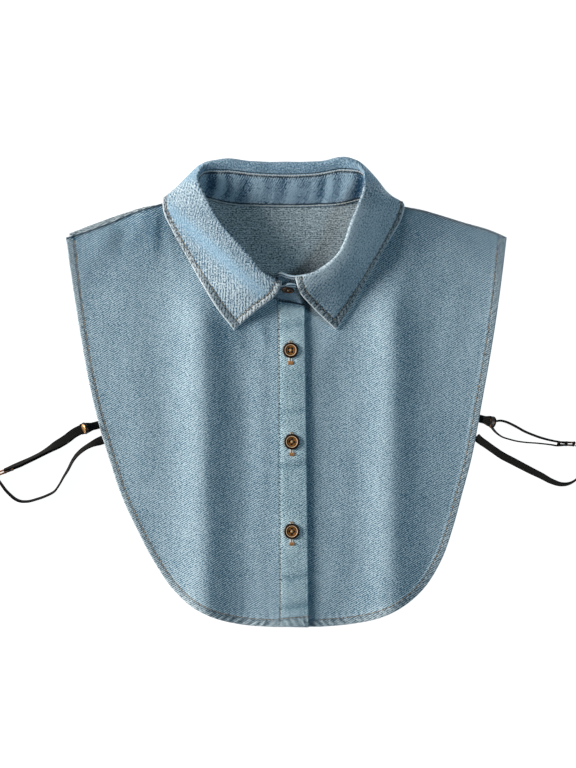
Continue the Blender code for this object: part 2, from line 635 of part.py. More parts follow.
# ---------------------------------------------------------------- straps and metal
def band_frames(route, step, offset=0.0):
    """Centres, side directions and normals of a band along a route."""
    route = np.array(route, float)
    knots = lengths(route[:, :2])
    count = max(4, round(knots[-1] / step))
    line = along(knots, route, np.linspace(0, knots[-1], count + 1))
    ahead = np.gradient(line[:, :2], axis=0)
    ahead /= np.linalg.norm(ahead, axis=1, keepdims=True)
    turn = np.radians(line[:, 2])
    level = np.stack([-ahead[:, 1], ahead[:, 0], np.zeros(len(line))], axis=1)
    up = np.array([0.0, 0.0, 1.0])
    side = level * np.cos(turn)[:, None] + up * np.sin(turn)[:, None]
    normal = -level * np.sin(turn)[:, None] + up * np.cos(turn)[:, None]
    height = (STRAP_WIDTH * np.abs(np.sin(turn)) + STRAP_THICK * np.abs(np.cos(turn))) / 2 + 0.05
    centre = np.column_stack([line[:, :2], height]) + normal * offset
    return centre, side, normal


def band(name, route, finish, offset=0.0):
    """A flat strap along a route, in one closed body."""
    centre, side, normal = band_frames(route, 4.5, offset)
    half_width, half_thick = STRAP_WIDTH / 2, STRAP_THICK / 2
    upper = np.stack([centre - side * half_width + normal * half_thick,
                      centre + side * half_width + normal * half_thick], axis=1)
    lower = upper - 2 * np.stack([normal, normal], axis=1) * half_thick
    return wall(name, upper, lower, finish)


def tab(name, ends, finish):
    """The short doubled strap that holds a ring to the front."""
    start, end = (np.array([*p, 0.0]) for p in ends)
    ahead = (end - start) / np.linalg.norm(end - start)
    side = np.array([-ahead[1], ahead[0], 0.0]) * TAB_WIDTH / 2
    rise = np.array([0.0, 0.0, 1.0])
    stations = [(0.0, 1.0), (0.45, 1.0), (0.6, 2.3), (1.0, 2.3)]
    upper = np.array([[start + (end - start) * s - side + rise * (h + 0.1),
                       start + (end - start) * s + side + rise * (h + 0.1)] for s, h in stations])
    lower = upper.copy()
    lower[..., 2] = 0.1
    return wall(name, upper, lower, finish)


def turn_and_place(made, spec, half_height):
    """Lean a flat metal piece about the strap's heading and stand it on the surface."""
    x, y, heading, lean = spec
    made.rotation_euler = (math.radians(lean), 0.0, math.radians(heading))
    made.location = (x * MM, y * MM, half_height * MM)


def ring(side, finish):
    """A round wire ring that a strap passes through; it leans about the line across the strap."""
    x, y, heading, lean = RINGS[side]
    bm = bmesh.new()
    around, wire = 18, 8
    loops = []
    for a in range(around):
        angle = 2 * math.pi * a / around
        loop = []
        for w in range(wire):
            tilt = 2 * math.pi * w / wire
            r = RING_RADIUS + RING_WIRE * math.cos(tilt)
            loop.append(bm.verts.new((r * math.cos(angle), r * math.sin(angle), RING_WIRE * math.sin(tilt))))
        loops.append(loop)
    for one, two in zip(loops, loops[1:] + loops[:1], strict=True):
        for w in range(wire):
            n = (w + 1) % wire
            bm.faces.new((one[w], two[w], two[n], one[n]))
    made = add(f"strap_ring_{side}", bm, finish)
    made.rotation_mode = "XYZ"
    made.rotation_euler = (0.0, math.radians(lean), math.radians(heading))
    height = RING_RADIUS * abs(math.sin(math.radians(lean))) + RING_WIRE + 0.05
    made.location = (x * MM, y * MM, height * MM)
    return made


def slider(side, finish):
    """A flat frame with a middle bar, through which the strap is threaded back."""
    x, y, heading, lean = SLIDERS[side]
    half, bar = SLIDER_LENGTH / 2, SLIDER_BAR
    xs = [-half, -half + bar, -bar / 2, bar / 2, half - bar, half]
    ys = [-SLIDER_WIDTH / 2, -SLIDER_WIDTH / 2 + bar, SLIDER_WIDTH / 2 - bar, SLIDER_WIDTH / 2]
    open_cells = {(1, 1), (3, 1)}
    bm = bmesh.new()
    points = {(i, j): bm.verts.new((px, py, -SLIDER_THICK / 2)) for i, px in enumerate(xs) for j, py in enumerate(ys)}
    faces = [
        bm.faces.new((points[i, j], points[i + 1, j], points[i + 1, j + 1], points[i, j + 1]))
        for i in range(5) for j in range(3) if (i, j) not in open_cells
    ]
    raised = bmesh.ops.extrude_face_region(bm, geom=faces)["geom"]
    bmesh.ops.translate(bm, vec=(0, 0, SLIDER_THICK), verts=[g for g in raised if isinstance(g, bmesh.types.BMVert)])
    made = add(f"strap_slider_{side}", bm, finish, smooth=False)
    tilt = math.radians(lean)
    height = (SLIDER_WIDTH * math.sin(tilt) + SLIDER_THICK * math.cos(tilt)) / 2 + 0.05
    turn_and_place(made, (x, y, heading, lean), height)
    return made


def straps(elastic, metal):
    beside = STRAP_THICK + GAP
    band("strap_run_left", LEFT_RUN, elastic, offset=beside)
    band("strap_return_left", LEFT_RUN, elastic)
    band("strap_long_left", LEFT_LONG, elastic)
    band("strap_run_right", RIGHT_RUN, elastic)
    band("strap_return_right", RIGHT_RETURN, elastic)
    band("strap_long_right", RIGHT_LONG, elastic)
    tab("strap_tab_left", LEFT_TAB, elastic)
    tab("strap_tab_right", RIGHT_TAB, elastic)
    for side in ("left", "right"):
        ring(side, metal)
        slider(side, metal)


def main():
    for old in list(bpy.data.objects):
        bpy.data.objects.remove(old, do_unlink=True)
    denim = material("light denim", (0.30, 0.43, 0.52), 0.85)
    wrong_side = material("denim, wrong side", (0.24, 0.32, 0.37), 0.9)
    horn = material("brown button", (0.20, 0.09, 0.03), 0.35)
    elastic = material("black elastic", (0.012, 0.011, 0.010), 0.6)
    metal = material("dark bronze", (0.35, 0.20, 0.10), 0.3, 1.0)
    back(wrong_side)
    front("left", denim)
    front("right", denim)
    placket(denim)
    sections = blend_sections(collar_controls(), 7.0)
    collar_stand(sections, denim)
    collar_fall(sections, denim)
    buttons(sections, horn)
    straps(elastic, metal)


main()
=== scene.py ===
"""A detachable denim shirt collar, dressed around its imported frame.

Sizes in the tables are in millimetres, X to the viewer's right, Y from the hem to the collar and
Z up. "Left" and "right" are the viewer's.
"""

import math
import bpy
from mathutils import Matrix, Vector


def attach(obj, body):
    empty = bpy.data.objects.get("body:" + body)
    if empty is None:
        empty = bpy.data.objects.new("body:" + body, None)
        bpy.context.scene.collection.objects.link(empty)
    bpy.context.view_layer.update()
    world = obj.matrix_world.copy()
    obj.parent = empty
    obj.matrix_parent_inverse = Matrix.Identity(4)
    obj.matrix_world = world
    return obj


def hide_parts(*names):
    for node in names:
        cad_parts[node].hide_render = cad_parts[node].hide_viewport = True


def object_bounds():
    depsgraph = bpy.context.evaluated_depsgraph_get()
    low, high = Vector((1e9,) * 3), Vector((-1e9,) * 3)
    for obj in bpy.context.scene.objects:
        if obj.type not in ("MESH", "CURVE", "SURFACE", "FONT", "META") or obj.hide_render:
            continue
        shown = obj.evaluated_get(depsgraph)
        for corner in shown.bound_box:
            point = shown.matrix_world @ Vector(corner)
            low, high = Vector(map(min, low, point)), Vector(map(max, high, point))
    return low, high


bl_info = {
    "name": "Detachable Denim Collar",
    "version": (1, 0, 0),
    "blender": (4, 5, 0),
    "location": "View3D > Sidebar > Collar",
    "description": "Builds the cloth, stitches, buttons and straps of a detachable shirt collar",
    "category": "Object",
}

import bmesh
import bpy
import numpy as np
from bpy.props import FloatProperty, FloatVectorProperty, PointerProperty
from mathutils import Euler, Matrix, Vector
from mathutils.bvhtree import BVHTree

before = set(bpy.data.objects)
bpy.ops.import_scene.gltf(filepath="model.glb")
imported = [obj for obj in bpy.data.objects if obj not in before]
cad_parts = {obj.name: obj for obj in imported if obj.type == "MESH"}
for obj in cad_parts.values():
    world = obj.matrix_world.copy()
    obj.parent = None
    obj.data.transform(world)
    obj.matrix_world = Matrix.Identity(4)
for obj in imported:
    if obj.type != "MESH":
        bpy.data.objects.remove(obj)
CAD_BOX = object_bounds()

MM = 0.001

# Cloth
CLOTH = 1.2  # one layer of denim with its turned seam allowances
COLLAR_CLOTH = 1.8  # stand and fall: two layers and an interlining
HEM_FOLD = 0.5  # extra thickness of the turned hem
GAP = 0.3  # between two layers
TOUCH = 0.1  # a hair's breadth, so that layers that touch don't cut into each other
BACK_INSET = 2.6  # of the back's outline inside that of the fronts

# Placket: its two edges, each at the neck and at the hem, and its upper end from left to right
PLACKET_LEFT = (-6.6, -5.2)
PLACKET_RIGHT = (14.4, 17.6)
PLACKET_TOP = ((-6.6, 71.6), (4.0, 70.2), (14.4, 67.9))
PLACKET_WIDTH = 21.5
PLACKET_LENGTH = 251.0
PLACKET_HEM = (6.2, 8.2)  # its hem's stitches above the edge, on the left and on the right
PLACKET_STITCH = 0.9  # inset of the stitches along its left edge
PLACKET_CREASES = ((-15.6, 0.28), (-57.0, 0.34), (-144.0, 0.42), (-167.0, 0.42), (52.0, 0.3))  # Y, depth
UNDERLAP_LEFT = -7.6  # edge of the right front, under the placket
OVERLAP_RAMP = (-34.0, -17.0)  # the left front climbs on to the right one between these
HEM_Y = -182.6

# Buttons, each in its node's place
BUTTON_HEIGHT = 2.2
BUTTON_SHIFT = (0.0, 0.0, -0.7)  # of a button beside its node
# the stand's button is darkened by painted shade, for it lies in the shadow of the stand's edge
STAND_BUTTON = {"painted_shade": 0.8, "lean": 8.0, "shift": (0.0, 1.4, 1.4)}
HOLE_DIAMETER = 1.75
HOLE_SPREAD = 1.35
BUTTON_ROUND = 72  # points round a button
THREAD_RADIUS = 0.17  # of the threads that hold a button
THREAD_ASIDE = 0.18  # half the way between two that lie side by side
PLACKET_BUTTONS = ((3.6, 32.4), (4.6, -38.6), (4.6, -108.2))  # X, Y of their buttonholes
# Parts of a buttonhole: lines from the button's middle, points on each, height above the cloth, thread,
# and the stitches' pitch, length, radius, arch and turn
BUTTONHOLE = {
    # the slits are drawn in the near-black of painted shadow
    "slits": ((((0.0, -9.2), (0.0, 6.6)),), 24, 0.12, "needle hole", (0.9, 1.2, 0.26, 0.05, 0.0)),
    "legs": ((((-0.85, -9.4), (-0.85, 6.7)), ((0.85, -9.4), (0.85, 6.7))), 24, 0.05, "cream",
             (0.52, 1.7, 0.27, 0.3, 90.0)),
    "ends": ((((-1.7, -9.7), (1.7, -9.7)),), 9, 0.15, "orange", (0.46, 2.8, 0.32, 0.5, 90.0)),
    "tops": ((((-1.1, 6.8), (1.1, 6.8)),), 5, 0.1, "tan", (0.5, 1.5, 0.27, 0.3, 90.0)),
}

# Straps and metal
STRAP_WIDTH = 7.2
STRAP_THICK = 1.1
STRAP_STEP = 1.3
TAB_WIDTH = 6.2
TAB_SPREAD = 2.2  # how much wider the tab gets in the ring
TAB_RIBS = 5
# Along the tab, as a share of the way to the ring's middle: its underside's height and its thickness
TAB_SHAPE = ((0.0, 0.0, 1.0), (0.42, 0.0, 1.05), (0.6, 0.0, 2.3), (0.9, 0.3, 2.6), (1.0, 2.0, 1.2),
             (1.12, 2.3, 1.1), (1.38, 1.0, 1.6), (1.5, 0.1, 1.4))
TAB_TIP = (1.12, 1.22, 1.32, 1.40, 1.46, 1.50)
RING_RADIUS = 3.7
RING_WIRE = 1.05
RING_ROUND = 56  # points round a ring
WIRE_ROUND = 16  # points round its wire
RING_PLATE = ((2.0, -0.9), (3.3, -0.9), (3.5, -0.4), (3.5, 0.9), (3.2, 1.2), (1.8, 1.35),
              (0.4, 1.4))  # radius, height
CLEAR = 0.05  # of a strap or a ring above the table
SLIDER_LENGTH = 13.4
SLIDER_WIDTH = 9.0
SLIDER_BAR = 1.7
SLIDER_THICK = 1.3
SLIDER_ROUNDING = 0.5
SLIDER_SETTLE = 7.0  # degrees by which a slider lies flatter than its strap
SLEEVE_RADIUS = 1.25  # of the strap folded round a bar

# Outline of the fronts from the shoulder corner to the middle of the hem: y, left x, right x
OUTLINE = (
    (120.5, -171.7, 172.0),
    (95.0, -168.2, 169.0),
    (45.0, -160.5, 162.0),
    (-5.0, -151.0, 153.3),
    (-55.0, -137.0, 143.8),
    (-80.0, -128.7, 137.1),
    (-105.0, -117.2, 130.3),
    (-130.0, -104.2, 121.5),
    (-154.5, -87.3, 105.9),
    (-167.0, -73.3, 91.0),
    (-176.0, -54.8, 72.0),
    (-181.0, -34.0, 48.5),
    (-182.8, -10.0, 27.0),
)
TURN = 0.70  # share of the outline that counts as the side; the rest is the hem

SHOULDERS = {
    "left": ((-171.7, 120.5), (-152.0, 127.0), (-137.0, 132.6), (-122.5, 138.8), (-107.5, 143.8),
             (-95.0, 147.1), (-85.0, 149.4), (-75.5, 151.4)),
    "right": ((172.0, 120.5), (160.5, 125.6), (138.0, 132.3), (118.5, 138.2), (105.0, 141.8),
              (93.0, 144.1), (82.0, 146.6), (72.0, 149.4)),
}
BACK_LEFT_SHOULDER = ((-169.5, 123.5), (-150.0, 131.0), (-128.0, 138.9), (-107.5, 144.8),
                      (-95.0, 146.4), (-85.0, 148.8), (-75.5, 151.2))
BACK_RIGHT_SHOULDER = ((169.0, 121.6), (160.5, 125.0), (138.0, 132.0), (118.5, 138.0),
                       (105.0, 141.5), (93.0, 143.2), (82.0, 145.9), (72.0, 149.2))

# Sections of the collar from the left point round the back to the right point
COLLAR_COLUMNS = ("seam_x", "seam_y", "joint", "roll_x", "roll_y", "roll_z", "side_x", "side_y",
                  "side_z", "low_x", "low_y", "low_z", "edge_x", "edge_y", "edge_z")
COLLAR = (
    (-6.2, 72.6, .90, -3.2, 83.9, 24.0, -7.2, 76.2, 21.0, -21.8, 64.2, 13.0, -40.3, 48.3, 5.0),
    (-20.0, 77.0, .90, -18.5, 92.6, 25.0, -25.5, 86.5, 23.0, -38.5, 75.5, 13.5, -52.6, 63.9, 5.0),
    (-36.0, 88.0, .90, -30.0, 107.0, 26.5, -38.0, 103.5, 24.6, -52.0, 92.5, 14.0, -64.7, 83.4, 5.0),
    (-48.0, 100.0, .90, -39.5, 117.5, 27.0, -48.5, 117.0, 25.0, -64.5, 111.5, 14.0, -76.7, 104.9, 5.0),
    (-60.0, 118.5, .90, -49.2, 128.4, 27.0, -59.0, 130.0, 24.8, -75.5, 129.5, 14.0, -88.2, 125.6, 5.0),
    (-69.5, 140.0, .90, -60.2, 145.8, 26.5, -71.5, 148.5, 22.3, -86.0, 147.7, 13.3, -95.2, 142.0, 6.5),
    (-73.3, 146.5, .91, -64.3, 153.5, 25.5, -76.0, 155.5, 20.3, -87.2, 153.8, 12.0, -95.6, 148.9, 7.2),
    (-74.5, 150.5, .90, -68.0, 162.5, 24.0, -78.6, 160.6, 16.5, -86.8, 156.6, 7.6, -94.2, 151.2, 3.4),
    (-69.5, 151.5, .90, -65.8, 171.6, 20.0, -70.8, 172.0, 12.0, -78.5, 163.5, 1.9, -88.0, 148.5, 0.9),
    (-45.0, 146.0, .84, -49.5, 177.8, 16.5, -52.0, 179.8, 9.5, -55.0, 170.5, 0.9, -64.0, 140.5, 0.9),
    (-23.0, 144.4, .82, -24.0, 176.3, 15.0, -25.0, 178.4, 8.3, -26.0, 170.5, 0.9, -30.0, 136.2, 0.9),
    (0.0, 144.0, .81, 0.0, 175.6, 14.5, 0.0, 177.8, 8.0, 0.0, 170.5, 0.9, 0.0, 135.0, 0.9),
    (23.0, 144.4, .82, 24.0, 176.3, 15.0, 25.0, 178.4, 8.3, 26.0, 170.5, 0.9, 30.0, 136.2, 0.9),
    (44.0, 146.0, .84, 47.5, 179.0, 16.5, 49.5, 181.0, 9.5, 52.0, 171.5, 0.9, 63.0, 140.5, 0.9),
    (66.5, 151.0, .88, 59.5, 171.8, 20.0, 64.0, 171.3, 12.0, 71.0, 162.5, 1.9, 82.0, 147.0, 0.9),
    (71.5, 149.0, .88, 60.8, 160.0, 24.0, 72.0, 158.6, 16.5, 80.6, 152.4, 8.0, 89.6, 147.4, 3.4),
    (70.0, 145.0, .89, 59.2, 152.5, 25.5, 71.0, 152.2, 21.0, 83.2, 149.8, 12.2, 91.8, 145.4, 7.2),
    (68.5, 139.0, .90, 55.8, 144.0, 26.5, 64.5, 144.3, 23.3, 79.0, 140.8, 13.8, 90.2, 136.4, 6.0),
    (64.0, 124.0, .90, 50.0, 129.0, 27.0, 58.0, 128.3, 24.7, 70.5, 122.5, 14.0, 79.4, 116.7, 5.0),
    (53.5, 109.0, .90, 43.4, 111.5, 27.0, 51.0, 109.0, 25.0, 61.0, 103.0, 14.5, 68.5, 97.3, 5.0),
    (41.0, 95.0, .90, 32.9, 99.0, 26.0, 39.5, 95.0, 24.0, 50.0, 86.0, 14.2, 57.2, 77.8, 5.0),
    (27.0, 83.0, .90, 19.6, 91.0, 24.5, 25.0, 86.5, 22.8, 37.0, 75.5, 13.6, 48.0, 62.3, 5.0),
    (8.6, 73.5, .90, 7.4, 87.6, 23.5, 10.0, 78.8, 21.2, 20.5, 66.2, 13.0, 38.8, 48.5, 5.0),
)
LEFT_LEAF = slice(0, 8)
HIDDEN_EDGE = slice(8, 15)  # the sections whose outer edge lies under the back
RIGHT_LEAF = slice(15, None)
SEAM_LIFT = 1.3  # of the stand's foot above the cloth that it is sewn to
UNDERLAP_FROM = 39.0  # X at which the stand's underlapping end leaves the neckline
NECK_CENTRE = (0.0, 118.0, 40.0)

# Ends of the stand that are buttoned over each other: foot, then top. The first foot's Z is above the placket
OVER_END = (
    (13.6, 68.3, 1.3, 11.8, 81.4, 17.2),
    (9.5, 69.2, 1.3, 7.6, 83.6, 20.6),
    (4.4, 70.8, 1.3, 2.8, 84.0, 22.8),
)
UNDER_END = (
    (12.5, 76.0, 6.2, 13.0, 90.6, 20.5),
    (7.0, 76.5, 6.0, 7.0, 89.8, 20.0),
    (1.0, 77.5, 6.0, 1.5, 90.8, 19.0),
    (-4.5, 79.0, 6.4, -4.5, 92.8, 18.0),
    (-8.0, 81.5, 8.5, -7.0, 91.5, 16.0),
)

FOLD_COLUMNS = ("top_x", "start_y", "full_y", "end_x", "end_y", "height", "end_height",
                "left_width", "right_width")
FOLDS = (
    (-65.5, 112.0, 52.0, -61.5, -175.0, 8.8, 7.6, 14.0, 16.0),
    (84.0, 118.0, 58.0, 82.0, -170.0, 7.8, 5.8, 13.0, 14.0),
    (3.0, 74.0, 20.0, 6.0, -182.0, 2.8, 2.2, 20.0, 19.0),
    (-109.0, 152.0, 138.0, -103.0, 84.0, 2.6, 0.0, 12.0, 9.0),
    (-143.0, 132.0, 124.0, -137.0, 102.0, 1.5, 0.0, 9.0, 7.0),
    (98.0, 152.0, 136.0, 94.0, 66.0, 2.6, 0.0, 12.0, 20.0),
)

# Strap routes from the side seam outwards: x, y and the turn of the band in degrees
ROUTES = {
    "run_left": (
        (-157.9, -28.4, 4), (-164.4, -31.8, 12), (-171.8, -37.4, 20), (-177.8, -41.2, 30),
        (-183.8, -45.1, 56), (-189.8, -48.7, 68), (-195.8, -51.8, 70), (-201.8, -54.6, 69),
        (-207.2, -57.0, 66), (-211.8, -58.9, 69), (-215.6, -60.4, 76), (-219.0, -61.7, 80),
    ),
    "long_left": (
        (-142.6, -37.2, 16), (-145.2, -38.2, 24), (-149.0, -39.6, 42), (-153.3, -41.7, 56),
        (-158.7, -45.2, 62), (-163.2, -49.4, 66), (-166.3, -53.8, 70), (-169.6, -60.2, 73),
        (-173.2, -66.2, 77), (-177.2, -73.2, 80), (-180.0, -77.0, 79), (-187.0, -80.9, 79),
        (-193.4, -83.2, 79), (-202.2, -85.3, 79), (-207.0, -85.0, 79), (-211.0, -83.2, 79),
        (-214.9, -79.9, 80), (-218.3, -76.4, 81), (-221.0, -72.7, 82), (-223.6, -68.9, 84),
        (-225.2, -66.4, 86), (-225.9, -64.0, 86),
    ),
    "run_right": (
        (163.8, -22.6, 82), (167.2, -22.3, 81), (171.2, -23.2, 81), (175.2, -24.9, 81),
        (180.5, -27.7, 81), (185.6, -30.6, 81), (191.0, -32.9, 81), (196.3, -34.9, 81),
        (204.3, -37.2, 82), (211.1, -38.6, 83), (214.6, -39.2, 83), (218.6, -39.7, 84),
    ),
    "return_right": (
        (159.4, -26.4, 78), (162.9, -30.9, 84), (168.0, -34.8, 88), (173.2, -36.6, 88),
        (179.4, -38.2, 88), (185.6, -39.1, 88), (196.3, -39.9, 88), (206.7, -41.1, 87),
        (211.1, -41.8, 86), (214.6, -41.6, 86), (218.6, -41.3, 86),
    ),
    "long_right": (
        (148.0, -34.7, 30), (150.4, -37.0, 34), (155.6, -40.7, 38), (162.2, -45.4, 40),
        (168.8, -49.8, 38), (175.5, -53.3, 38), (183.5, -57.5, 40), (191.0, -61.4, 43),
        (198.9, -65.3, 48), (206.7, -69.5, 55), (214.7, -71.9, 64), (220.0, -71.4, 70),
        (224.2, -69.4, 75), (227.6, -66.4, 78), (230.3, -61.9, 82), (231.2, -56.2, 84),
        (230.2, -50.2, 86), (228.2, -45.0, 86), (225.6, -41.6, 86),
    ),
}
ROUTES["return_left"] = ROUTES["run_left"]
# Tabs from the side seam to the ring; rings and sliders as x, y, direction and lean
TABS = {"left": ((-144.2, -25.1), (-154.7, -27.8)), "right": ((149.6, -20.4), (157.8, -22.5))}
RINGS = {"left": (-156.6, -28.2, 197.0, 62.0), "right": (160.6, -23.6, -14.0, -62.0)}
SLIDERS = {"left": (-218.4, -61.4, 201.0, 79.0), "right": (218.1, -40.2, -2.0, 79.0)}

# Small swellings of the fronts
DENT_COLUMNS = ("x", "y", "long", "wide", "turn", "height")
DENTS = (
    (-101.0, 133.0, 16.0, 2.6, 84.0, 0.9),
    (-92.5, 129.0, 18.0, 2.4, 100.0, 0.9),
    (-116.0, 128.0, 14.0, 4.0, 70.0, 0.7),
    (-137.0, 120.0, 14.0, 5.0, 58.0, 0.8),
    (-152.0, 108.0, 16.0, 5.0, 70.0, 0.6),
    (-34.0, 36.0, 26.0, 6.5, 112.0, 0.9),
    (-18.0, 46.0, 20.0, 4.5, 118.0, 0.7),
    (96.0, 108.0, 26.0, 5.0, 78.0, 0.8),
    (112.0, 96.0, 34.0, 8.0, 82.0, 0.8),
    (128.0, 60.0, 46.0, 9.0, 84.0, 0.7),
    (34.0, 36.0, 22.0, 6.0, 64.0, 0.9),
    (46.0, -60.0, 60.0, 7.0, 88.0, 0.5),
    (-120.0, 20.0, 60.0, 9.0, 96.0, 0.7),
    (-104.0, -60.0, 50.0, 8.0, 104.0, 0.7),
    (112.0, -70.0, 44.0, 8.0, 76.0, 0.6),
    (-30.0, -120.0, 40.0, 8.0, 86.0, 0.5),
    (38.0, -140.0, 30.0, 7.0, 80.0, 0.6),
)

# Painted shade on the fronts, in the same columns: the collar's shadow beside and below the left leaf and on
# the right shoulder, shade on the left shoulder, and a few lighter patches where positive
SHADES = (
    (-102.0, 131.0, 20.0, 6.0, 78.0, -0.25),
    (-135.0, 112.0, 40.0, 16.0, 30.0, -0.22),
    (-46.0, 42.0, 20.0, 8.0, 118.0, -0.25),
    (-28.0, 60.0, 20.0, 7.0, 140.0, -0.30),
    (104.0, 128.0, 24.0, 8.0, 100.0, -0.20),
    (24.0, 20.0, 30.0, 5.0, 90.0, 0.10),
    (140.0, 50.0, 50.0, 14.0, 96.0, 0.25),
    (126.0, 108.0, 36.0, 16.0, 160.0, 0.13),
    (-112.0, 104.0, 40.0, 14.0, 150.0, 0.06),
)
LARGE_FOLD = 5.0  # folds higher than this drop fast on their right
# Painted shade of the two large folds, on their side away from the light: X of the crest and the hollow, of
# the hollow's far side at the top and at the hem, and how much darker the hollow is
FOLD_SHADES = ((-69.0, -47.0, -34.0, -18.0, 0.34), (77.0, 100.0, 108.0, 122.0, 0.30))

# Along the outline, as a share of it: the hem stitches' inset, and how strongly the hem is roped
HEM_STITCH = ((0.0, 6.8), (0.08, 5.8), (0.2, 4.9), (0.6, 4.7), (0.8, 5.4), (1.0, 5.8))
HEM_ROPING = ((0.0, 0.45), (0.35, 0.6), (0.62, 0.8), (0.8, 1.0), (0.92, 1.5), (1.0, 0.9))
ROPE_PITCH = 6.3
ROPE_SLANT = 0.16
FALL_ROPE_PITCH = 4.6
BACK_STITCH = 5.0  # inset of the back's hem stitches
FALL_STITCH = ((70.0, 5.7), (135.0, 3.7))  # Y, inset of the fall's stitches along its outer edge
FRONT_INSET = 4.8  # of the fall's stitches along its two front edges
STAND_INSET = 0.9  # of the stand's two lines of stitches
STAND_PUCKER = ((-66, 1.4), (-50, 1.5), (-40, 0.9), (-20, 0.5), (20, 0.5), (40, 1.3), (52, 1.7), (66, 1.6))
WORN_RADIUS = 0.34  # of the rubbed threads along an edge

# How closely the points of a cloth mesh stand: in its middle, and from a finished edge inwards
FRONT_STEP = 1.7
BACK_STEP = 2.2
PLACKET_STEPS = (1.2, 1.4)  # across, down
FALL_STEPS = (1.9, 1.5)  # along the edge, across
STAND_STEPS = (2.2, 1.3)  # round the neck, upwards
FALL_ACROSS = 60.0  # the widths that the fall's and the stand's points are spaced for
STAND_UP = 30.0
EDGE_STEPS = (0.0, 0.18, 0.45, 0.8, 1.3, 1.9, 2.6, 3.3, 4.0, 4.7, 5.4, 6.2, 7.0, 8.0)

CALM_BAND = ((-80.5, 132.4), (-30.9, 87.5))  # smooth, bluer band along the left leaf
LAY_COLUMNS = (-12, -20)  # columns of the fall, between which it is laid flat

# Stage, in metres
CAMERA_PLACE = (0.00156, 0.00624, 2.0)
SENSOR = 24.0  # millimetres of the picture's long side
SEEN = 0.59904  # of the table along the picture's long side
LAMP_DISTANCE = 2.6
LAMPS = (  # name, the setting of its power, size, direction and height in degrees, colour
    ("side lamp", "lamp_power", 1.1, 170.0, 20.0, (0.985, 0.99, 0.99)),
    ("fill lamp", "fill_power", 0.5, 0.0, 52.0, (0.63, 0.92, 1.13)),
)
FLOOR_HALF = 12.0
FLOOR_GAP = 0.0002


# ---------------------------------------------------------------- numbers and curves
def ease(share):
    """0 below 0, 1 above 1, and a smooth step between."""
    share = np.clip(share, 0.0, 1.0)
    return share * share * (3.0 - 2.0 * share)


def bump(value, middle, width):
    return np.exp(-(((value - middle) / width) ** 2))


def column(table, columns, name):
    return np.array([row[columns.index(name)] for row in table], float)


def along(knots, values, at):
    """A smooth curve that passes through values at knots, read at the places in at."""
    knots, values, at = (np.asarray(a, float) for a in (knots, values, at))
    flat = values.ndim == 1
    values = values.reshape(len(knots), -1)
    step = np.diff(knots)
    slope = np.diff(values, axis=0) / step[:, None]
    tangent = np.empty_like(values)
    tangent[0], tangent[-1] = slope[0], slope[-1]
    before, after = step[:-1, None], step[1:, None]
    tangent[1:-1] = (slope[:-1] * after + slope[1:] * before) / (before + after)
    i = np.clip(np.searchsorted(knots, at, side="right") - 1, 0, len(step) - 1)
    h = step[i][:, None]
    t = ((at - knots[i]) / step[i])[:, None]
    found = (
        values[i] * (1 + 2 * t) * (1 - t) ** 2
        + tangent[i] * h * t * (1 - t) ** 2
        + values[i + 1] * t * t * (3 - 2 * t)
        + tangent[i + 1] * h * t * t * (t - 1)
    )
    return found[:, 0] if flat else found


def lengths(points):
    """How far along its line each point is."""
    points = np.asarray(points, float)
    return np.concatenate([[0.0], np.cumsum(np.linalg.norm(np.diff(points, axis=0), axis=1))])


def fine_curve(points):
    """A smooth curve through the points, with sixteen steps from one to the next."""
    points = np.asarray(points, float)
    knots = lengths(points)
    spans = len(knots) - 1
    at = np.interp(np.linspace(0, spans, spans * 16 + 1), np.arange(spans + 1), knots)
    return along(knots, points, at)


def between(table, at):
    """A value read between a table's rows of place and value."""
    places, values = np.array(table, float).T
    return np.interp(at, places, values)


def read(points, shares):
    """The points at these shares of a line's length."""
    points = np.asarray(points, float)
    far = lengths(points)
    at = np.asarray(shares) * far[-1]
    return np.stack([np.interp(at, far, points[:, k]) for k in range(points.shape[1])], axis=1)


def moved_in(line, by):
    """A line moved sideways, towards the middle of the garment."""
    line = np.asarray(line, float)
    ahead = np.gradient(line, axis=0)
    normal = np.stack([-ahead[:, 1], ahead[:, 0]], axis=1)
    normal /= np.linalg.norm(normal, axis=1, keepdims=True)
    inwards = np.sign(np.sum(normal * -line, axis=1, keepdims=True))
    return line + normal * inwards * (by if np.ndim(by) == 0 else np.asarray(by)[:, None])


def from_line(x, y, line):
    """For each point, its distance from a line and how far along the line that is."""
    start, end = line[:-1], line[1:]
    way = end - start
    size = np.maximum((way**2).sum(axis=1), 1e-12)
    before = lengths(line)[:-1]
    points = np.stack([x.ravel(), y.ravel()], axis=1)
    distance, place = np.empty(len(points)), np.empty(len(points))
    for cut in range(0, len(points), 4000):
        p = points[cut : cut + 4000]
        offset = p[:, None] - start[None]
        t = np.clip((offset * way[None]).sum(axis=2) / size[None], 0, 1)
        gap = np.linalg.norm(offset - t[..., None] * way[None], axis=2)
        best = gap.argmin(axis=1)
        rows = np.arange(len(p))
        distance[cut : cut + 4000] = gap[rows, best]
        place[cut : cut + 4000] = before[best] + t[rows, best] * np.sqrt(size[best])
    return distance.reshape(x.shape), place.reshape(x.shape)


# ---------------------------------------------------------------- heights of the layers
def folds(x, y):
    """Height of the long folds."""
    total = np.zeros(np.broadcast(x, y).shape)
    for row in FOLDS:
        f = dict(zip(FOLD_COLUMNS, row, strict=True))
        down = (f["start_y"] - y) / (f["start_y"] - f["end_y"])
        middle = f["top_x"] + (f["end_x"] - f["top_x"]) * np.clip(down, 0, 1)
        rise = ease((f["start_y"] - y) / (f["start_y"] - f["full_y"]))
        fall = np.clip((f["full_y"] - y) / (f["full_y"] - f["end_y"]), 0, 1)
        height = rise * (f["height"] + (f["end_height"] - f["height"]) * fall)
        width = np.where(x < middle, f["left_width"], f["right_width"])
        power = np.where((x > middle) & (f["height"] > LARGE_FOLD), 1.6, 2.0)
        total = total + height * np.exp(-0.5 * (np.abs(x - middle) / width) ** power)
    return total


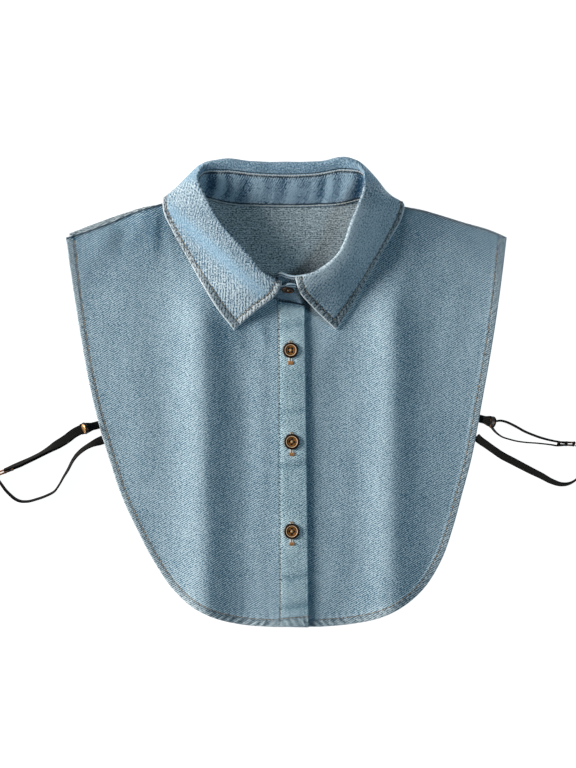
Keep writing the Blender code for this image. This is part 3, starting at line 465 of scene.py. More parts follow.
def dents(x, y, table=DENTS):
    """The sum of a table's small slanted bumps."""
    total = np.zeros(np.broadcast(x, y).shape)
    for row in table:
        d = dict(zip(DENT_COLUMNS, row, strict=True))
        turn = math.radians(d["turn"])
        u = (x - d["x"]) * math.cos(turn) + (y - d["y"]) * math.sin(turn)
        v = -(x - d["x"]) * math.sin(turn) + (y - d["y"]) * math.cos(turn)
        total = total + d["height"] * np.exp(-0.5 * ((u / d["long"]) ** 2 + (v / d["wide"]) ** 2))
    return total


def ripples(x, y):
    """Faint unevenness of washed cloth."""
    return 0.10 * (
        np.sin(x / 7.1 + 0.6 * np.sin(y / 23.0)) * np.sin(y / 31.0 + x / 60.0)
        + 0.8 * np.sin(x / 4.3 - y / 40.0 + 1.3 * np.sin(y / 37.0 + 1.0)) * np.sin(y / 19.0 + 2.0)
        + 0.7 * np.sin(x / 12.0 + y / 15.0)
    )


def hidden_edge(x):
    """Y of the fall's edge that lies under the back."""
    rows = COLLAR[HIDDEN_EDGE]
    return np.interp(x, column(rows, COLLAR_COLUMNS, "edge_x"), column(rows, COLLAR_COLUMNS, "edge_y"))


def back_under(x, y):
    """Underside of the back, which is lifted where it lies on the fall."""
    over_fall = ease((y - hidden_edge(x) + 36.0) / 32.0) * ease((128.0 - np.abs(x)) / 26.0)
    return (COLLAR_CLOTH + GAP + TOUCH) * over_fall


def front_under(x, y, side):
    lift = ease((x - OVERLAP_RAMP[0]) / (OVERLAP_RAMP[1] - OVERLAP_RAMP[0])) * (side == "left")
    return back_under(x, y) * 1.35 + folds(x, y) + (CLOTH + GAP) * (1 + lift)


def front_top(x, y, side):
    return front_under(x, y, side) + CLOTH


def placket_top(x, y):
    return front_top(x, y, "left") + GAP + CLOTH


def placket_left(y):
    return np.interp(y, (HEM_Y, PLACKET_TOP[0][1]), PLACKET_LEFT[::-1])


def placket_right(y):
    return np.interp(y, (HEM_Y, PLACKET_TOP[-1][1]), PLACKET_RIGHT[::-1])


def placket_stitch(from_left):
    """Height of the hem's stitches above the placket's lower edge."""
    low, high = PLACKET_HEM
    return low + (high - low) * from_left / PLACKET_WIDTH


# ---------------------------------------------------------------- making meshes
# Values painted on every cloth: wear with painted shade and highlights, smoothness, blueness, and greyness
# along a seam that is partly painted shadow
PAINTED = ("wear", "calm", "bloom", "scuff")


def shares_for(long, step, fine_start, fine_end):
    """Shares of a length about a step apart, and closer beside a finished edge."""
    start = np.array(EDGE_STEPS if fine_start else (0.0,))
    end = np.array(EDGE_STEPS if fine_end else (0.0,))
    count = max(2, round((long - start[-1] - end[-1]) / step))
    middle = np.linspace(start[-1], long - end[-1], count + 1)
    return np.concatenate([start[:-1], middle, long - end[:-1][::-1]]) / long


def filled(top, bottom, left, right, across, down):
    """Points that fill the space between four edges, at the given shares across and down."""
    top, bottom = read(top, across), read(bottom, across)
    left, right = read(left, down), read(right, down)
    s, t = across[None, :, None], down[:, None, None]
    corners = (
        (1 - s) * (1 - t) * top[0] + s * (1 - t) * top[-1]
        + (1 - s) * t * bottom[0] + s * t * bottom[-1]
    )
    return (
        (1 - t) * top[None] + t * bottom[None]
        + (1 - s) * left[:, None] + s * right[:, None] - corners
    )


def normals_of(grid):
    """The direction out of a grid of points, at each of them."""
    normal = np.cross(np.gradient(grid, axis=1), np.gradient(grid, axis=0))
    return normal / np.maximum(np.linalg.norm(normal, axis=2, keepdims=True), 1e-9)


def finish_mesh(name, points, faces, material, uv=None, sharp=60.0, **painted):
    """An object at the origin from points in millimetres, faces as rows of indices."""
    mesh = bpy.data.meshes.new(name)
    mesh.from_pydata((np.asarray(points) * MM).tolist(), [], [list(map(int, f)) for f in faces])
    bm = bmesh.new()
    bm.from_mesh(mesh)
    if bm.calc_volume(signed=True) < 0:
        bmesh.ops.reverse_faces(bm, faces=bm.faces)
    bm.to_mesh(mesh)
    bm.free()
    if uv is not None:
        layer = mesh.uv_layers.new(name="cloth")
        index = np.empty(len(mesh.loops), np.int32)
        mesh.loops.foreach_get("vertex_index", index)
        layer.data.foreach_set("uv", (np.asarray(uv)[index] * MM).astype(np.float32).ravel())
    for key, value in painted.items():
        attribute = mesh.attributes.new(key, "FLOAT", "POINT")
        attribute.data.foreach_set("value", np.asarray(value, np.float32).ravel())
    mesh.shade_smooth()
    mesh.set_sharp_from_angle(angle=math.radians(sharp))
    mesh.materials.append(material)
    made = bpy.data.objects.new(name, mesh)
    bpy.context.scene.collection.objects.link(made)
    return made


def wall(name, upper, lower, material, uv, **painted):
    """One closed wall between two grids of points with the same rows and columns."""
    painted = {key: painted.get(key, np.zeros(upper.shape[:2])) for key in PAINTED}
    rows, columns = upper.shape[:2]
    index = np.arange(rows * columns).reshape(rows, columns)
    quads = np.stack([index[:-1, :-1], index[:-1, 1:], index[1:, 1:], index[1:, :-1]], axis=-1)
    quads = quads.reshape(-1, 4)
    under = index.size
    rim = np.concatenate([index[0, :], index[1:, -1], index[-1, -2::-1], index[-2:0:-1, 0]])
    after = np.roll(rim, -1)
    sides = np.stack([rim, rim + under, after + under, after], axis=1)
    faces = np.concatenate([quads, quads[:, ::-1] + under, sides])
    points = np.concatenate([upper.reshape(-1, 3), lower.reshape(-1, 3)])
    return finish_mesh(name, points, faces, material, np.concatenate([uv.reshape(-1, 2)] * 2),
                       **{key: np.concatenate([value.ravel()] * 2) for key, value in painted.items()})


def dress(piece, slot, *nodes):
    """Every piece rides on the garment's body and stands for its nodes; its slot is not used."""
    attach(piece, "root")
    if nodes:
        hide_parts(*nodes)
    return piece


def tube(name, loops, material, uv=None, closed=False, **more):
    """A skin over loops of points; open ones get a cap on both ends."""
    loops = np.asarray(loops, float)
    count, around = loops.shape[:2]
    faces = []
    for a in range(count if closed else count - 1):
        b = (a + 1) % count
        for k in range(around):
            n = (k + 1) % around
            faces.append((a * around + k, a * around + n, b * around + n, b * around + k))
    if not closed:
        faces += [tuple(range(around))[::-1], tuple(range((count - 1) * around, count * around))]
    return finish_mesh(name, loops.reshape(-1, 3), faces, material, uv, **more)


def circle(count):
    return np.linspace(0, 2 * np.pi, count, endpoint=False)


def turned_loops(radii, heights, count):
    """Loops of points round Z, one for each radius and height."""
    angles = circle(count)
    return np.stack([radii[:, None] * np.cos(angles), radii[:, None] * np.sin(angles),
                     np.repeat(heights[:, None], count, axis=1)], axis=2)


def strand(name, path, radius, material):
    """A round thread along a path."""
    ahead = np.gradient(path, axis=0)
    ahead /= np.linalg.norm(ahead, axis=1, keepdims=True)
    level = np.cross((0.0, 0.0, 1.0) if abs(ahead[0, 2]) < 0.9 else (1.0, 0.0, 0.0), ahead)
    level /= np.linalg.norm(level, axis=1, keepdims=True)
    rise = np.cross(ahead, level)
    angles = circle(8)[None, :, None]
    around = level[:, None] * np.cos(angles) + rise[:, None] * np.sin(angles)
    return tube(name, path[:, None] + radius * around, material)


def joined(made, other):
    """Both meshes as one object, each with its own material."""
    bm = bmesh.new()
    bm.from_mesh(made.data)
    before = len(bm.faces)
    bm.from_mesh(other.data)
    bm.faces.ensure_lookup_table()
    for face in bm.faces[before:]:
        face.material_index = len(made.data.materials)
    bm.to_mesh(made.data)
    bm.free()
    made.data.materials.append(other.data.materials[0])
    made.data.shade_smooth()
    mesh = other.data
    bpy.data.objects.remove(other)
    bpy.data.meshes.remove(mesh)
    return made


def applied(made):
    """The same object with its modifiers worked into a plain mesh."""
    graph = bpy.context.evaluated_depsgraph_get()
    mesh = bpy.data.meshes.new_from_object(made.evaluated_get(graph))
    made.modifiers.clear()
    old = made.data
    made.data = mesh
    bpy.data.meshes.remove(old)
    return made


# ---------------------------------------------------------------- materials
# Scales of the weave's noises, along and across
SPECKLE = (760.0, 1150.0, 1000.0)
STREAK = (150.0, 620.0, 1000.0)
SLUB = (420.0, 22.0, 1000.0)
GREYED = ((0.045, 0.055, 0.062), (0.62, 0.67, 0.68))  # dark and light threads beside a seam; the dark ones also make the painted shadow line along the shoulder seam
BLUER = (0.30, 0.52, 0.70)
BRAID = (0.95, 1.2)  # distance between the elastic's ribs, along the strap and across it

# Material, dark and light threads, direction and pitch of the ribs, and how strong the ribs, the
# speckle, the streaks, the blotches and the relief are
DENIMS = {
    "placket": ("light denim, placket", (0.03, 0.12, 0.19), (0.69, 0.85, 0.87), 31.0, 1.43, 0.9, 1.1, 0.3),
    "fall": ("light denim, fall", (0.038, 0.105, 0.17), (0.60, 0.70, 0.735), 82.0, 2.35, 0.52, 1.45, 0.62,
             0.7, 0.16),
    "stand": ("denim, stand", (0.02, 0.07, 0.13), (0.46, 0.60, 0.69), 60.0, 1.6, 0.5, 1.2, 0.5, 1.6),
    "wrong": ("denim, wrong side", (0.06, 0.09, 0.108), (0.67, 0.745, 0.755), 0.0, 1.6, 0.25, 1.1, 0.42, 0.8),
}
# Colour, and how much of it the thread's dark parts keep
THREADS = {
    "tan": ((0.50, 0.36, 0.23), 0.4),
    "buff": ((0.52, 0.40, 0.26), 0.4),
    "cream": ((0.80, 0.76, 0.68), 0.7),
    "gold brown": ((0.85, 0.60, 0.30), 0.5),
    "orange": ((0.62, 0.27, 0.08), 0.5),
}
# How far the enamel has rubbed off, and the metal under it
METALS = {
    "black enamel": (-0.9, (0.62, 0.30, 0.14)),
    "rubbed copper": (0.5, (0.66, 0.34, 0.19)),
    "bare gold metal": (1.1, (1.0, 0.56, 0.23)),
}
# the worn edge has the threads' own colour; the near-black one is painted shadow in needle holes, button
# holes, buttonhole slits and the gap under the stand
PLAIN = {"worn edge": (0.78, 0.86, 0.90), "needle hole": (0.02, 0.03, 0.045)}
BODY_RIBS = (31.0, 1.43, 1.0, 1.0, 0.25)  # the fronts' denim, from its ribs' direction on
ENAMEL = (0.006, 0.004, 0.003)
ELASTIC = ((0.002, 0.002, 0.002), (0.075, 0.07, 0.063))  # between its cords, and on them
HORN = ((0.022, 0.006, 0.001), (0.72, 0.27, 0.05), (0.95, 0.70, 0.45))  # painted shade at the edge, own brown, painted highlight on the rim


def put(tree, value, socket):
    """Link a socket to another one, or set its value."""
    if isinstance(value, bpy.types.NodeSocket):
        tree.links.new(value, socket)
    else:
        socket.default_value = value


def add_node(tree, kind, settings=None, **inputs):
    """A new node; an input is called by its name, with _ for a space, or by its place as i0 or i1."""
    made = tree.nodes.new(kind)
    for key, value in (settings or {}).items():
        setattr(made, key, value)
    for key, value in inputs.items():
        by_place = key[0] == "i" and key[1:].isdigit()
        put(tree, value, made.inputs[int(key[1:]) if by_place else key.replace("_", " ")])
    return made


class Nodes:
    """A small hand for wiring one material's nodes."""

    def __init__(self, name):
        self.material = bpy.data.materials.new(name)
        self.material.use_nodes = True
        self.tree = self.material.node_tree
        self.shader = self.tree.nodes["Principled BSDF"]

    def add(self, kind, settings=None, **inputs):
        return add_node(self.tree, kind, settings, **inputs)

    def cloth(self):
        return self.add("ShaderNodeUVMap", {"uv_map": "cloth"}).outputs[0]

    def place(self):
        return self.add("ShaderNodeTexCoord").outputs["Object"]

    def painted(self, name):
        return self.add("ShaderNodeAttribute", {"attribute_name": name}).outputs["Fac"]

    def math(self, operation, a, b=0.0, clamp=False):
        settings = {"operation": operation, "use_clamp": clamp}
        return self.add("ShaderNodeMath", settings, i0=a, i1=b).outputs[0]

    def times(self, a, b):
        return self.math("MULTIPLY", a, b)

    def total(self, *values, clamp=False):
        """The sum of sockets and numbers, kept between 0 and 1 if asked."""
        made = values[0]
        for count, value in enumerate(values[1:], 2):
            made = self.math("ADD", made, value, clamp and count == len(values))
        return made

    def wave(self, value, pitch):
        return self.math("SINE", self.times(value, 2 * math.pi / pitch))

    def noise(self, vector, scale, detail=2.0, rough=0.5):
        """Noise around 0."""
        made = self.add("ShaderNodeTexNoise", {"noise_dimensions": "3D"}, Vector=vector, Scale=scale,
                        Detail=detail, Roughness=rough)
        return self.math("SUBTRACT", made.outputs[0], 0.5)

    def mix(self, share, a, b):
        made = self.add("ShaderNodeMix", {"data_type": "RGBA"}, i0=share)
        for value, socket in ((a, made.inputs[6]), (b, made.inputs[7])):
            put(self.tree, rgba(value) if isinstance(value, tuple) else value, socket)
        return made.outputs[2]

    def turned(self, vector, degrees, scale=(1000.0, 1000.0, 1000.0)):
        """A vector in millimetres, turned, then scaled along its new axes."""
        spun = self.add("ShaderNodeMapping", {"vector_type": "POINT"}, Vector=vector,
                        Rotation=(0.0, 0.0, math.radians(degrees))).outputs[0]
        return self.add("ShaderNodeMapping", {"vector_type": "POINT"}, Vector=spun, Scale=scale).outputs[0]

    def gloss(self, **values):
        """Set the shader's other inputs."""
        for key, value in values.items():
            self.shader.inputs[key.replace("_", " ")].default_value = value

    def surface(self, colour, rough, metal=0.0, height=None, distance=0.1):
        """The finished material; distance is the bumps' height in millimetres."""
        given = {"Base Color": colour, "Roughness": rough, "Metallic": metal}
        if height is not None:
            given["Normal"] = self.add("ShaderNodeBump", Height=height, Distance=distance * MM).outputs[0]
        for key, value in given.items():
            put(self.tree, value, self.shader.inputs[key])
        return self.material


def rgba(colour):
    return (*colour[:3], 1.0)


def denim(name, dark, light, rib_turn, pitch, rib, speckle, streak, blotch=1.0, relief=0.12):
    """Faded denim: light and dark threads in slanted ribs, on the cloth's own coordinates."""
    n = Nodes(name)
    uv = n.cloth()
    flat = n.turned(uv, 0.0)
    across_ribs = n.add("ShaderNodeSeparateXYZ", i0=n.turned(uv, -rib_turn)).outputs[1]
    wobble = n.times(n.noise(flat, 0.35), 3.0)
    wave = n.math("SINE", n.total(n.times(across_ribs, 2 * math.pi / pitch), wobble))
    fine = n.noise(n.turned(uv, -rib_turn, SPECKLE), 1.0, 0.0)
    coarse = n.noise(flat, 0.9, 1.0, 0.6)
    lines = n.noise(n.turned(uv, -rib_turn, STREAK), 1.0, 1.0)
    slub = n.noise(n.turned(uv, 0.0, SLUB), 1.0)
    wide = n.noise(flat, 0.030, 3.0, 0.55)
    mid = n.noise(flat, 0.11)
    wear, calm, bloom, scuff = (n.painted(key) for key in PAINTED)

    lively = n.math("SUBTRACT", 1.0, n.times(calm, 0.85))
    weave = n.total(n.times(wave, 0.48 * rib), n.times(lines, 1.5 * streak))
    grain = n.total(n.times(fine, 1.6 * speckle), n.times(coarse, 0.35 * speckle))
    grain = n.times(grain, n.math("SUBTRACT", 1.0, n.times(calm, 0.15)))
    share = n.total(0.5, n.total(n.times(weave, lively), grain))
    # the wear values lighten and darken the threads: real wear, and also painted shade and highlights on the
    # fronts, placket, stand and fall
    for part, weight in ((slub, 0.26 * blotch), (wide, 0.30 * blotch), (mid, 0.24 * blotch), (wear, 0.5)):
        share = n.total(share, n.times(part, weight))
    share = n.total(share, 0.0, clamp=True)
    colour = n.mix(share, rgba(dark), rgba(light))
    colour = n.mix(scuff, colour, n.mix(share, *GREYED))
    colour = n.mix(n.times(bloom, 0.42), colour, BLUER)
    height = n.total(n.times(wave, 0.1 * rib), n.times(fine, 0.3 * speckle), n.times(lines, 1.2 * streak))
    n.gloss(Specular_IOR_Level=0.15, Sheen_Weight=0.06, Sheen_Roughness=0.5, Sheen_Tint=(0.8, 0.9, 1.0, 1.0))
    return n.surface(colour, 0.95, 0.0, n.times(height, lively), relief)


def thread(name, colour, dark):
    """Twisted sewing thread."""
    n = Nodes(name)
    blot, twist = n.noise(n.place(), 900.0), n.noise(n.place(), 3200.0, 1.0)
    share = n.total(0.5, n.total(n.times(blot, 1.1), n.times(twist, 0.8)), clamp=True)
    return n.surface(n.mix(share, tuple(c * dark for c in colour), colour), 0.7, 0.0, twist)


def elastic():
    """Black braided elastic: cords along it, crossed by fine ribs."""
    n = Nodes("black elastic")
    flat = n.turned(n.cloth(), 0.0)
    split = n.add("ShaderNodeSeparateXYZ", i0=flat)
    ribs, cords = (n.wave(split.outputs[k], pitch) for k, pitch in enumerate(BRAID))
    lint = n.noise(flat, 1.2, 3.0)
    share = n.total(0.12, n.times(cords, 0.26))
    share = n.total(share, n.total(n.times(ribs, 0.12), n.times(lint, 0.7)), clamp=True)
    height = n.total(n.times(ribs, 0.3), n.times(cords, 0.5))
    n.gloss(Specular_IOR_Level=0.05)
    return n.surface(n.mix(share, *ELASTIC), 0.85, 0.0, height, 0.16)


def rubbed_metal(name, rubbed, bare):
    """Black enamel over metal that shows where it has rubbed through."""
    n = Nodes(name)
    rub, scratch = n.noise(n.place(), 260.0), n.noise(n.place(), 1500.0)
    share = n.total(n.times(n.total(rub, n.times(scratch, 0.4)), 6.0), rubbed, clamp=True)
    n.gloss(Specular_IOR_Level=0.2)
    return n.surface(n.mix(share, ENAMEL, bare), 0.4, share, scratch, 0.04)


def horn():
    """Brown button horn, cloudy, with a painted highlight on its rim and painted shade at its edge."""
    n = Nodes("brown button horn")
    cloud, grain = n.noise(n.place(), 420.0, 3.0), n.noise(n.place(), 1600.0)
    polish = n.painted("polish")
    share = n.total(polish, n.total(n.times(cloud, 0.9), n.times(grain, 0.3)), clamp=True)
    edge_shade, brown, rim_highlight = HORN
    # where the painted highlight covers the rim
    rim = n.math("MULTIPLY", n.math("SUBTRACT", polish, 0.7), 2.2, clamp=True)
    colour = n.mix(rim, n.mix(share, edge_shade, brown), rim_highlight)
    n.gloss(Specular_IOR_Level=0.2, Coat_Weight=0.06, Coat_Roughness=0.3)
    return n.surface(colour, 0.45, 0.0, grain, 0.03)


def plain(name, colour):
    """One colour with faint cloudiness."""
    n = Nodes(name)
    share = n.total(0.5, n.noise(n.place(), 700.0), clamp=True)
    return n.surface(n.mix(share, tuple(c * 0.8 for c in colour), tuple(c * 1.15 for c in colour)), 0.9)


_FINISHES = {}


def finish(name):
    """One of the object's materials, made on its first use."""
    if name not in _FINISHES:
        if name == "body":
            s = bpy.context.scene.denim_collar
            made = denim("light denim", s.dark_thread, s.light_thread, *BODY_RIBS)
        elif name in DENIMS:
            made = denim(*DENIMS[name])
        elif name in THREADS:
            made = thread(f"{name} thread", *THREADS[name])
        elif name in METALS:
            made = rubbed_metal(name, *METALS[name])
        elif name in PLAIN:
            made = plain(name, PLAIN[name])
        else:
            made = {"elastic": elastic, "horn": horn}[name]()
        _FINISHES[name] = made
    return _FINISHES[name]


# ---------------------------------------------------------------- panels
def side_and_hem(side):
    """A front's outline, as its side and its hem."""
    x = 1 if side == "left" else 2
    middle = PLACKET_RIGHT[1] if side == "left" else UNDERLAP_LEFT
    line = fine_curve([(row[x], row[0]) for row in OUTLINE])
    line = np.vstack([line, [(middle, HEM_Y)]])
    shares = lengths(line) / lengths(line)[-1]
    cut = int(np.searchsorted(shares, TURN))
    return line[: cut + 1], line[cut:]


def neckline(side):
    """A front's edge along the collar's seam, from the shoulder to the middle."""
    rows = COLLAR[LEFT_LEAF][::-1] if side == "left" else COLLAR[RIGHT_LEAF]
    ends = {
        "left": [(4.4, 70.6), (PLACKET_RIGHT[0] - 0.8, 68.2)],
        "right": [(0.0, 71.6), (UNDERLAP_LEFT, 72.6)],
    }
    return fine_curve([row[:2] for row in rows] + ends[side])


def roping(phase, distance, stitch, clear=0.4):
    """The slanted ropes of a turned hem, between its edge and its stitches."""
    return np.sin(2 * np.pi * phase) * ease(distance) * ease((stitch - clear - distance) / 1.2)


def puckers(phase, distance, middle, width):
    """The small gathers beside a line of stitches."""
    return np.sin(2 * np.pi * phase) * bump(distance, middle, width)


def greyed(distance, stitch, amount):
    """How grey the cloth is between its edge and its stitches."""
    return amount * (1 - ease((distance - stitch + 0.6) / 1.2))


def hem_relief(distance, place, whole):
    """Height, wear and greyness of the turned hem: its step, the stitches' groove and the roping."""
    stitch, strong = between(HEM_STITCH, place / whole), between(HEM_ROPING, place / whole)
    inside = 1 - ease((distance - stitch - 0.4) / 1.8)
    groove = bump(distance, stitch, 0.75)
    uneven = 0.35 * np.sin(place / 17.0) + 0.2 * np.sin(place / 5.3)
    rope = roping(place / ROPE_PITCH - distance * ROPE_SLANT + uneven, distance, stitch)
    pucker = puckers(place / 5.1 + 0.2 * np.sin(place / 23.0), distance, stitch + 2.6, 2.0)
    mottle = np.sin(place / 0.9 + 2.0 * np.sin(place / 3.1)) * np.sin(distance * 1.9 + place / 2.3)
    height = HEM_FOLD * inside - 0.42 * groove + (0.30 * rope + 0.10 * pucker) * strong
    wear = (0.55 * bump(distance, 0.2, 0.8) + (0.36 * rope + 0.3 * pucker) * strong + 0.12 * inside
            - 1.1 * groove * (0.6 + 0.4 * np.sin(place / 1.1)) + 0.35 * mottle * (distance < stitch + 1.0)
            - 0.25 * bump(distance, stitch - 1.3, 0.7) + 0.3 * bump(distance, stitch + 1.4, 0.8))
    return height, wear, greyed(distance, stitch, 0.55)


def shade_of_folds(x, y):
    """Painted shade and light across the large folds: darker in the hollow on their side away from the light,
    lighter along their crests.
    """
    total = np.zeros(np.broadcast(x, y).shape)
    for crest, hollow, far_top, far_low, amount in FOLD_SHADES:
        far = np.interp(y, (-140.0, 20.0), (far_low, far_top))
        dark = ease((x - crest - 4.0) / 10.0) * ease((far - x) / (far - hollow + 4.0))
        total = total - amount * dark * ease((96.0 - y) / 60.0)
        total = total + 0.16 * bump(x, crest - 1.0, 8.0) * ease((90.0 - y) / 50.0)
    return total


def front_wear_and_shade(x, y, side, from_shoulder):
    """Wear and painted shade of a front, apart from its hem."""
    seam = 1.5 if side == "left" else 0.5  # how dark the painted shadow line beside the shoulder seam is
    # a light worn rim at the shoulder seam, the painted shadow line of the seam's gap, and painted shade near
    # the shoulders
    wear = (0.45 * bump(from_shoulder, 0.1, 0.5) - seam * bump(from_shoulder, 1.2, 0.7)
            - 0.30 * bump(from_shoulder, 0.0, 34.0))
    wear = wear + shade_of_folds(x, y) + dents(x, y, SHADES)
    # the placket's painted shadow on the right front, and a lighter band beyond it
    if side == "right":
        beside = x - placket_right(y)
        wear = wear - 0.6 * bump(beside, 0.8, 3.2) + 0.15 * bump(beside, 12.0, 6.0)
    return wear


def rounding(distance, reach):
    """How far a folded edge's two faces draw together, 1 at the very edge."""
    inside = np.clip(1 - distance / reach, 0, 1)
    return 1 - np.sqrt(np.clip(1 - inside**2, 0, 1))


def area_of(line):
    """Square metres inside a closed line."""
    x, y = line[:, 0], line[:, 1]
    return abs(0.5 * np.sum(x * np.roll(y, -1) - y * np.roll(x, -1))) * MM**2


def panel(name, x, y, upper, lower, material, **painted):
    """A wall over the flat places x and y, between two heights."""
    flat = np.dstack([x, y])
    return wall(name, np.dstack([x, y, upper]), np.dstack([x, y, lower]), material, flat, **painted)


def front(side, material):
    """One front, with its outline and its area."""
    side_edge, hem = side_and_hem(side)
    shoulder = fine_curve(SHOULDERS[side])
    top = np.vstack([shoulder, neckline(side)[1:]])
    middle = [top[-1], hem[-1]]
    long = 0.5 * (lengths(side_edge)[-1] + lengths(middle)[-1])
    across = shares_for(lengths(top)[-1], FRONT_STEP, True, side == "left")
    down = shares_for(long, FRONT_STEP, True, True)
    flat = filled(top, hem, side_edge, middle, across, down)
    x, y = flat[..., 0], flat[..., 1]
    outline = np.vstack([side_edge, hem[1:]])
    distance, place = from_line(x, y, outline)
    from_shoulder = from_line(x, y, shoulder)[0]
    near = np.minimum(distance, from_shoulder)
    hidden = ease((x - OVERLAP_RAMP[1]) / 5.0) * (x < 20.0)  # the part that the placket covers

    height, wear, scuff = hem_relief(distance, place, lengths(outline)[-1])
    height = height * (1 - hidden * (distance > 0.5))
    if side == "left":
        height = height + 0.45 * bump(x, PLACKET_LEFT[0] - 0.8, 4.0) * ease(distance / 6.0)
    seam = 0.35 * bump(from_shoulder, 1.0, 0.9)
    swell = (dents(x, y) + ripples(x, y)) * ease(near / 12.0) * (1 - 0.8 * hidden)
    under = front_under(x, y, side)
    upper = under + CLOTH + (height + seam + swell) * (1 - 0.7 * hidden)
    draw = rounding(near, 1.1) * 0.46 * (upper - under)
    lower = under + draw + np.minimum(swell, 0) * (1 - hidden)
    # the grey line along the shoulder seam is painted shadow of the gap between the front and the back
    made = panel(f"{side}_front", x, y, upper - draw, lower, material,
                 wear=wear + front_wear_and_shade(x, y, side, from_shoulder),
                 scuff=np.maximum(scuff, 0.9 * bump(from_shoulder, 1.0, 1.2)))
    return made, outline, area_of(np.vstack([outline, top[::-1]]))


def back(material):
    """The back, whose wrong side shows inside the neck, with its area."""
    shoulders = [fine_curve(line) for line in (BACK_LEFT_SHOULDER, BACK_RIGHT_SHOULDER)]
    sides, hems = [], []
    for side, shoulder in zip(("left", "right"), shoulders, strict=True):
        edge, hem = (moved_in(line, BACK_INSET) for line in side_and_hem(side))
        sides.append(fine_curve([shoulder[0], *edge[12::12], edge[-1]]))
        own_half = hem[:, 0] < -2 if side == "left" else hem[:, 0] > 2
        hems.append(np.vstack([edge[-1:], hem[own_half][1:]]))
    hem = np.vstack([hems[0], hems[1][::-1]])
    neck = fine_curve([shoulders[0][-1], *(row[:2] for row in COLLAR[HIDDEN_EDGE]), shoulders[1][-1]])
    top = np.vstack([shoulders[0], neck[1:], shoulders[1][::-1][1:]])
    across = shares_for(lengths(top)[-1], BACK_STEP, True, True)
    down = shares_for(lengths(sides[0])[-1], BACK_STEP, True, True)
    flat = filled(top, hem, sides[0], sides[1], across, down)
    x, y = flat[..., 0], flat[..., 1]
    outline = np.vstack([sides[0], hem[1:], sides[1][::-1][1:]])
    distance, place = from_line(x, y, outline)
    near = np.minimum(distance, from_line(x, y, top)[0])

    groove = bump(distance, BACK_STITCH, 0.75)
    rope = roping(place / ROPE_PITCH - distance * ROPE_SLANT, distance, BACK_STITCH)
    in_neck = ease((y - 66.0) / 10.0) * ease((70.0 - np.abs(x)) / 14.0)
    under = back_under(x, y)
    upper = under + CLOTH + 0.5 * ripples(x, y) * in_neck
    lower = under + 0.22 * groove * ease((24.0 - y) / 30.0)
    lower = lower + 0.12 * np.clip(rope, 0, 1) * (distance < BACK_STITCH)
    lower = np.where(near < 0.5, under + 0.05, lower)
    draw = rounding(near, 1.0) * 0.46 * CLOTH
    made = panel("back", x, y, upper - draw, lower + draw, material,
                 wear=0.5 * bump(distance, 0.2, 0.9) + 0.4 * rope - 0.6 * groove)
    return made, area_of(np.vstack([outline, top[::-1]]))


def placket(material):
    """The folded strip with the buttonholes."""
    top = fine_curve(PLACKET_TOP)
    bottom = [(PLACKET_LEFT[1], HEM_Y + 0.2), (PLACKET_RIGHT[1], HEM_Y - 0.4)]
    across = shares_for(PLACKET_WIDTH, PLACKET_STEPS[0], True, True)
    down = shares_for(PLACKET_LENGTH, PLACKET_STEPS[1], False, True)
    flat = filled(top, bottom, [PLACKET_TOP[0], bottom[0]], [PLACKET_TOP[-1], bottom[1]], across, down)
    x, y = flat[..., 0], flat[..., 1]
    from_left, from_right, from_hem = x - placket_left(y), placket_right(y) - x, y - HEM_Y
    from_top = from_line(x, y, top)[0]

    stitch = placket_stitch(np.clip(from_left, 0, PLACKET_WIDTH))
    groove = bump(from_hem, stitch, 0.8)
    rope = roping(x / 6.0 + y * 0.1, from_hem, stitch, 0.5)
    pucker = puckers(y / 4.4 + 0.3 * np.sin(y / 11.0), from_left, 2.0, 1.4)
    pocket = sum(bump(np.hypot(x - bx, (y - by + 1.0) / 1.5), 7.6, 2.6) for bx, by in PLACKET_BUTTONS)
    crease = -sum(deep * bump(y - 0.12 * (x - 4.0), at, 2.4) for at, deep in PLACKET_CREASES)
    height = (0.10 * pucker + 0.22 * rope - 0.35 * groove + 0.16 * pocket + crease + 0.6 * ripples(x, y)
              - 0.5 * (1 - ease(from_left / 6.0)) - 0.25 * bump(from_left, PLACKET_STITCH, 0.5))
    stitched = bump(from_left, PLACKET_STITCH, 0.6) * (0.6 + 0.4 * np.sin(y * 2.4))
    # the crease term darkens the creases with painted shade, and the dark band just below the top is painted
    # shadow of the stand's edge, with a lighter band below it
    wear = (0.12 * bump(from_left, 2.1, 0.8) - 0.9 * stitched + 0.45 * bump(from_right, 0.4, 0.9)
            + 0.4 * rope - 0.8 * groove + 0.3 * pocket + 0.3 * pucker
            + 1.3 * crease - 0.7 * bump(from_top, 1.6, 1.6) + 0.5 * bump(from_top, 6.0, 4.0))
    lower = placket_top(x, y) + TOUCH - CLOTH
    draw = rounding(np.minimum(from_right, from_hem), 0.9) * 0.45 * CLOTH
    upper = np.maximum(lower + CLOTH + height - draw, lower + 0.12)
    return panel("placket_strip", x, y, upper, lower + draw * (from_right < from_hem), material,
                 wear=wear, scuff=greyed(from_hem, stitch, 0.5))


# ---------------------------------------------------------------- collar
def seam_height(number):
    """Height of the stand's foot at one of the collar's sections."""
    x, y = COLLAR[number][:2]
    if number < LEFT_LEAF.stop:
        on_placket = ease((x - OVERLAP_RAMP[1]) / 9.0) * (GAP + CLOTH)
        return float(front_top(x, y, "left") + on_placket) + SEAM_LIFT
    if number < HIDDEN_EDGE.stop:
        return float(back_under(x, y) + CLOTH) + SEAM_LIFT
    return float(front_top(x, y, "right")) + SEAM_LIFT


